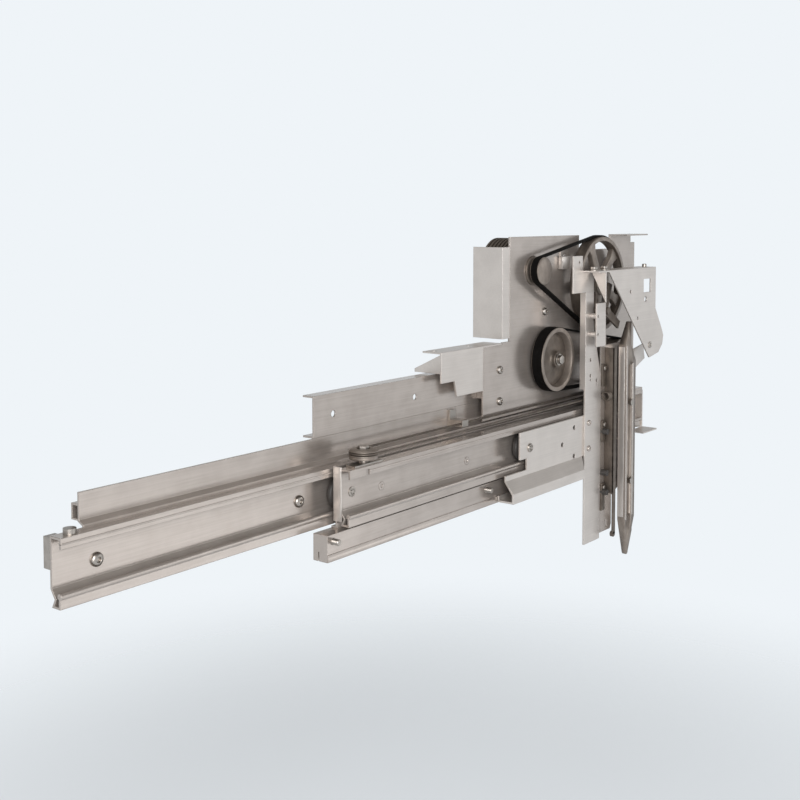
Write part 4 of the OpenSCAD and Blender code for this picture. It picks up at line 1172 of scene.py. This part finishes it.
@dataclass
class Studio:
    """The floor, the lights, the background and the camera. Sizes and places are in metres."""

    floor_at: Place = (0.2, 0.0, -0.82)
    floor_r: float = 1.7
    backdrop: str = "EFF4F8"
    ceiling: str = "72706C"
    ceiling_rise: Point = (0.2, 0.5)
    fill: float = 0.45
    camera_at: Place = (-1.236, -1.0125, 0.266)
    camera_forward: Place = (0.7862, 0.6153, -0.0576)
    sensor: float = 36.0
    lens: float = 51.75
    shift: float = -0.149
    lamps: Tuple[Softbox, ...] = (
        Softbox("key_softbox", (-2.1, -2.2, 0.8), (2.2, 2.2), 102),
        Softbox("strip_softbox", (1.95, -2.2, 0.5), (1.7, 0.3), 4),
        Softbox("low_softbox", (0.7, -1.45, -0.66), (1.2, 0.28), 1.2),
        Softbox("top_softbox", (0.3, 0.3, 2.4), (2.0, 2.0), 8))

    def build(self) -> None:
        """Builds the whole studio."""
        self.world()
        self.floor()
        for lamp in self.lamps:
            lamp.hang()
        self.camera()

    def world(self) -> None:
        """Lights the scene evenly, and shows the pale backdrop to the camera and to reflections."""
        world = bpy.data.worlds.new("studio")
        bpy.context.scene.world = world
        world.use_nodes = True
        tree = world.node_tree
        tree.nodes.clear()
        path = add_node(tree, "ShaderNodeLightPath")
        seen = add_node(tree, "ShaderNodeMath", {
            0: path.outputs["Is Camera Ray"], 1: path.outputs["Is Transmission Ray"]}, operation="MAXIMUM")
        mirrored = add_node(tree, "ShaderNodeMath", {
            0: seen.outputs[0], 1: path.outputs["Is Glossy Ray"]}, operation="MAXIMUM")
        sight = add_node(tree, "ShaderNodeTexCoord").outputs["Generated"]
        way = add_node(tree, "ShaderNodeSeparateXYZ", {0: sight})
        low, high = self.ceiling_rise
        rise = add_node(tree, "ShaderNodeMapRange", {
            "Value": way.outputs["Z"], "From Min": low, "From Max": high}, interpolation_type="SMOOTHSTEP")
        room = add_node(tree, "ShaderNodeMix", {
            "Factor": rise.outputs[0], "A": linear(self.backdrop), "B": linear(self.ceiling)},
            data_type="RGBA")
        even = add_node(tree, "ShaderNodeBackground", {"Color": linear("FFFFFF"), "Strength": self.fill})
        show = add_node(tree, "ShaderNodeBackground", {"Color": room.outputs["Result"], "Strength": 1.0})
        mix = add_node(tree, "ShaderNodeMixShader", {
            0: mirrored.outputs[0], 1: even.outputs[0], 2: show.outputs[0]})
        add_node(tree, "ShaderNodeOutputWorld", {"Surface": mix.outputs[0]})

    def floor(self) -> None:
        """Lays a pale floor that fades into the backdrop."""
        Workbench.begin()
        bpy.ops.mesh.primitive_circle_add(vertices=64, radius=self.floor_r, fill_type="NGON",
                                          location=self.floor_at)
        floor = bpy.context.object
        floor.name = "studio_floor"
        sheet = NodeMaterial("pale_studio_floor")
        far = add_node(sheet.tree, "ShaderNodeVectorMath", {0: sheet.place}, operation="LENGTH")
        fade = add_node(sheet.tree, "ShaderNodeMapRange", {
            "Value": far.outputs["Value"], "From Min": 0.3 * self.floor_r, "From Max": self.floor_r},
            interpolation_type="SMOOTHSTEP")
        paint = add_node(sheet.tree, "ShaderNodeBsdfDiffuse", {"Color": linear(self.backdrop)})
        clear = add_node(sheet.tree, "ShaderNodeBsdfTransparent")
        mix = add_node(sheet.tree, "ShaderNodeMixShader", {
            0: fade.outputs[0], 1: paint.outputs[0], 2: clear.outputs[0]})
        add_node(sheet.tree, "ShaderNodeOutputMaterial", {"Surface": mix.outputs[0]})
        floor.data.materials.append(sheet.material)

    def camera(self) -> None:
        """Sets the camera to the photograph's place and framing."""
        data = bpy.data.cameras.new("camera")
        data.sensor_width = self.sensor
        data.lens = self.lens
        data.shift_y = self.shift
        camera = bpy.data.objects.new("camera", data)
        bpy.context.scene.collection.objects.link(camera)
        camera.location = self.camera_at
        camera.rotation_euler = Vector(self.camera_forward).to_track_quat("-Z", "Y").to_euler()
        bpy.context.scene.camera = camera


def main() -> None:
    """Dresses the frame, adds the pieces and lights the scene."""
    logging.basicConfig(level=logging.INFO)
    bpy.context.scene.view_settings.view_transform = "Standard"
    bench = Workbench()
    dress_nodes(bench)
    for group in (Header, Drive, SlowCarriage, FastCarriage, Vane):
        group(bench).build()
    Studio().build()


if __name__ == "__main__":
    main()
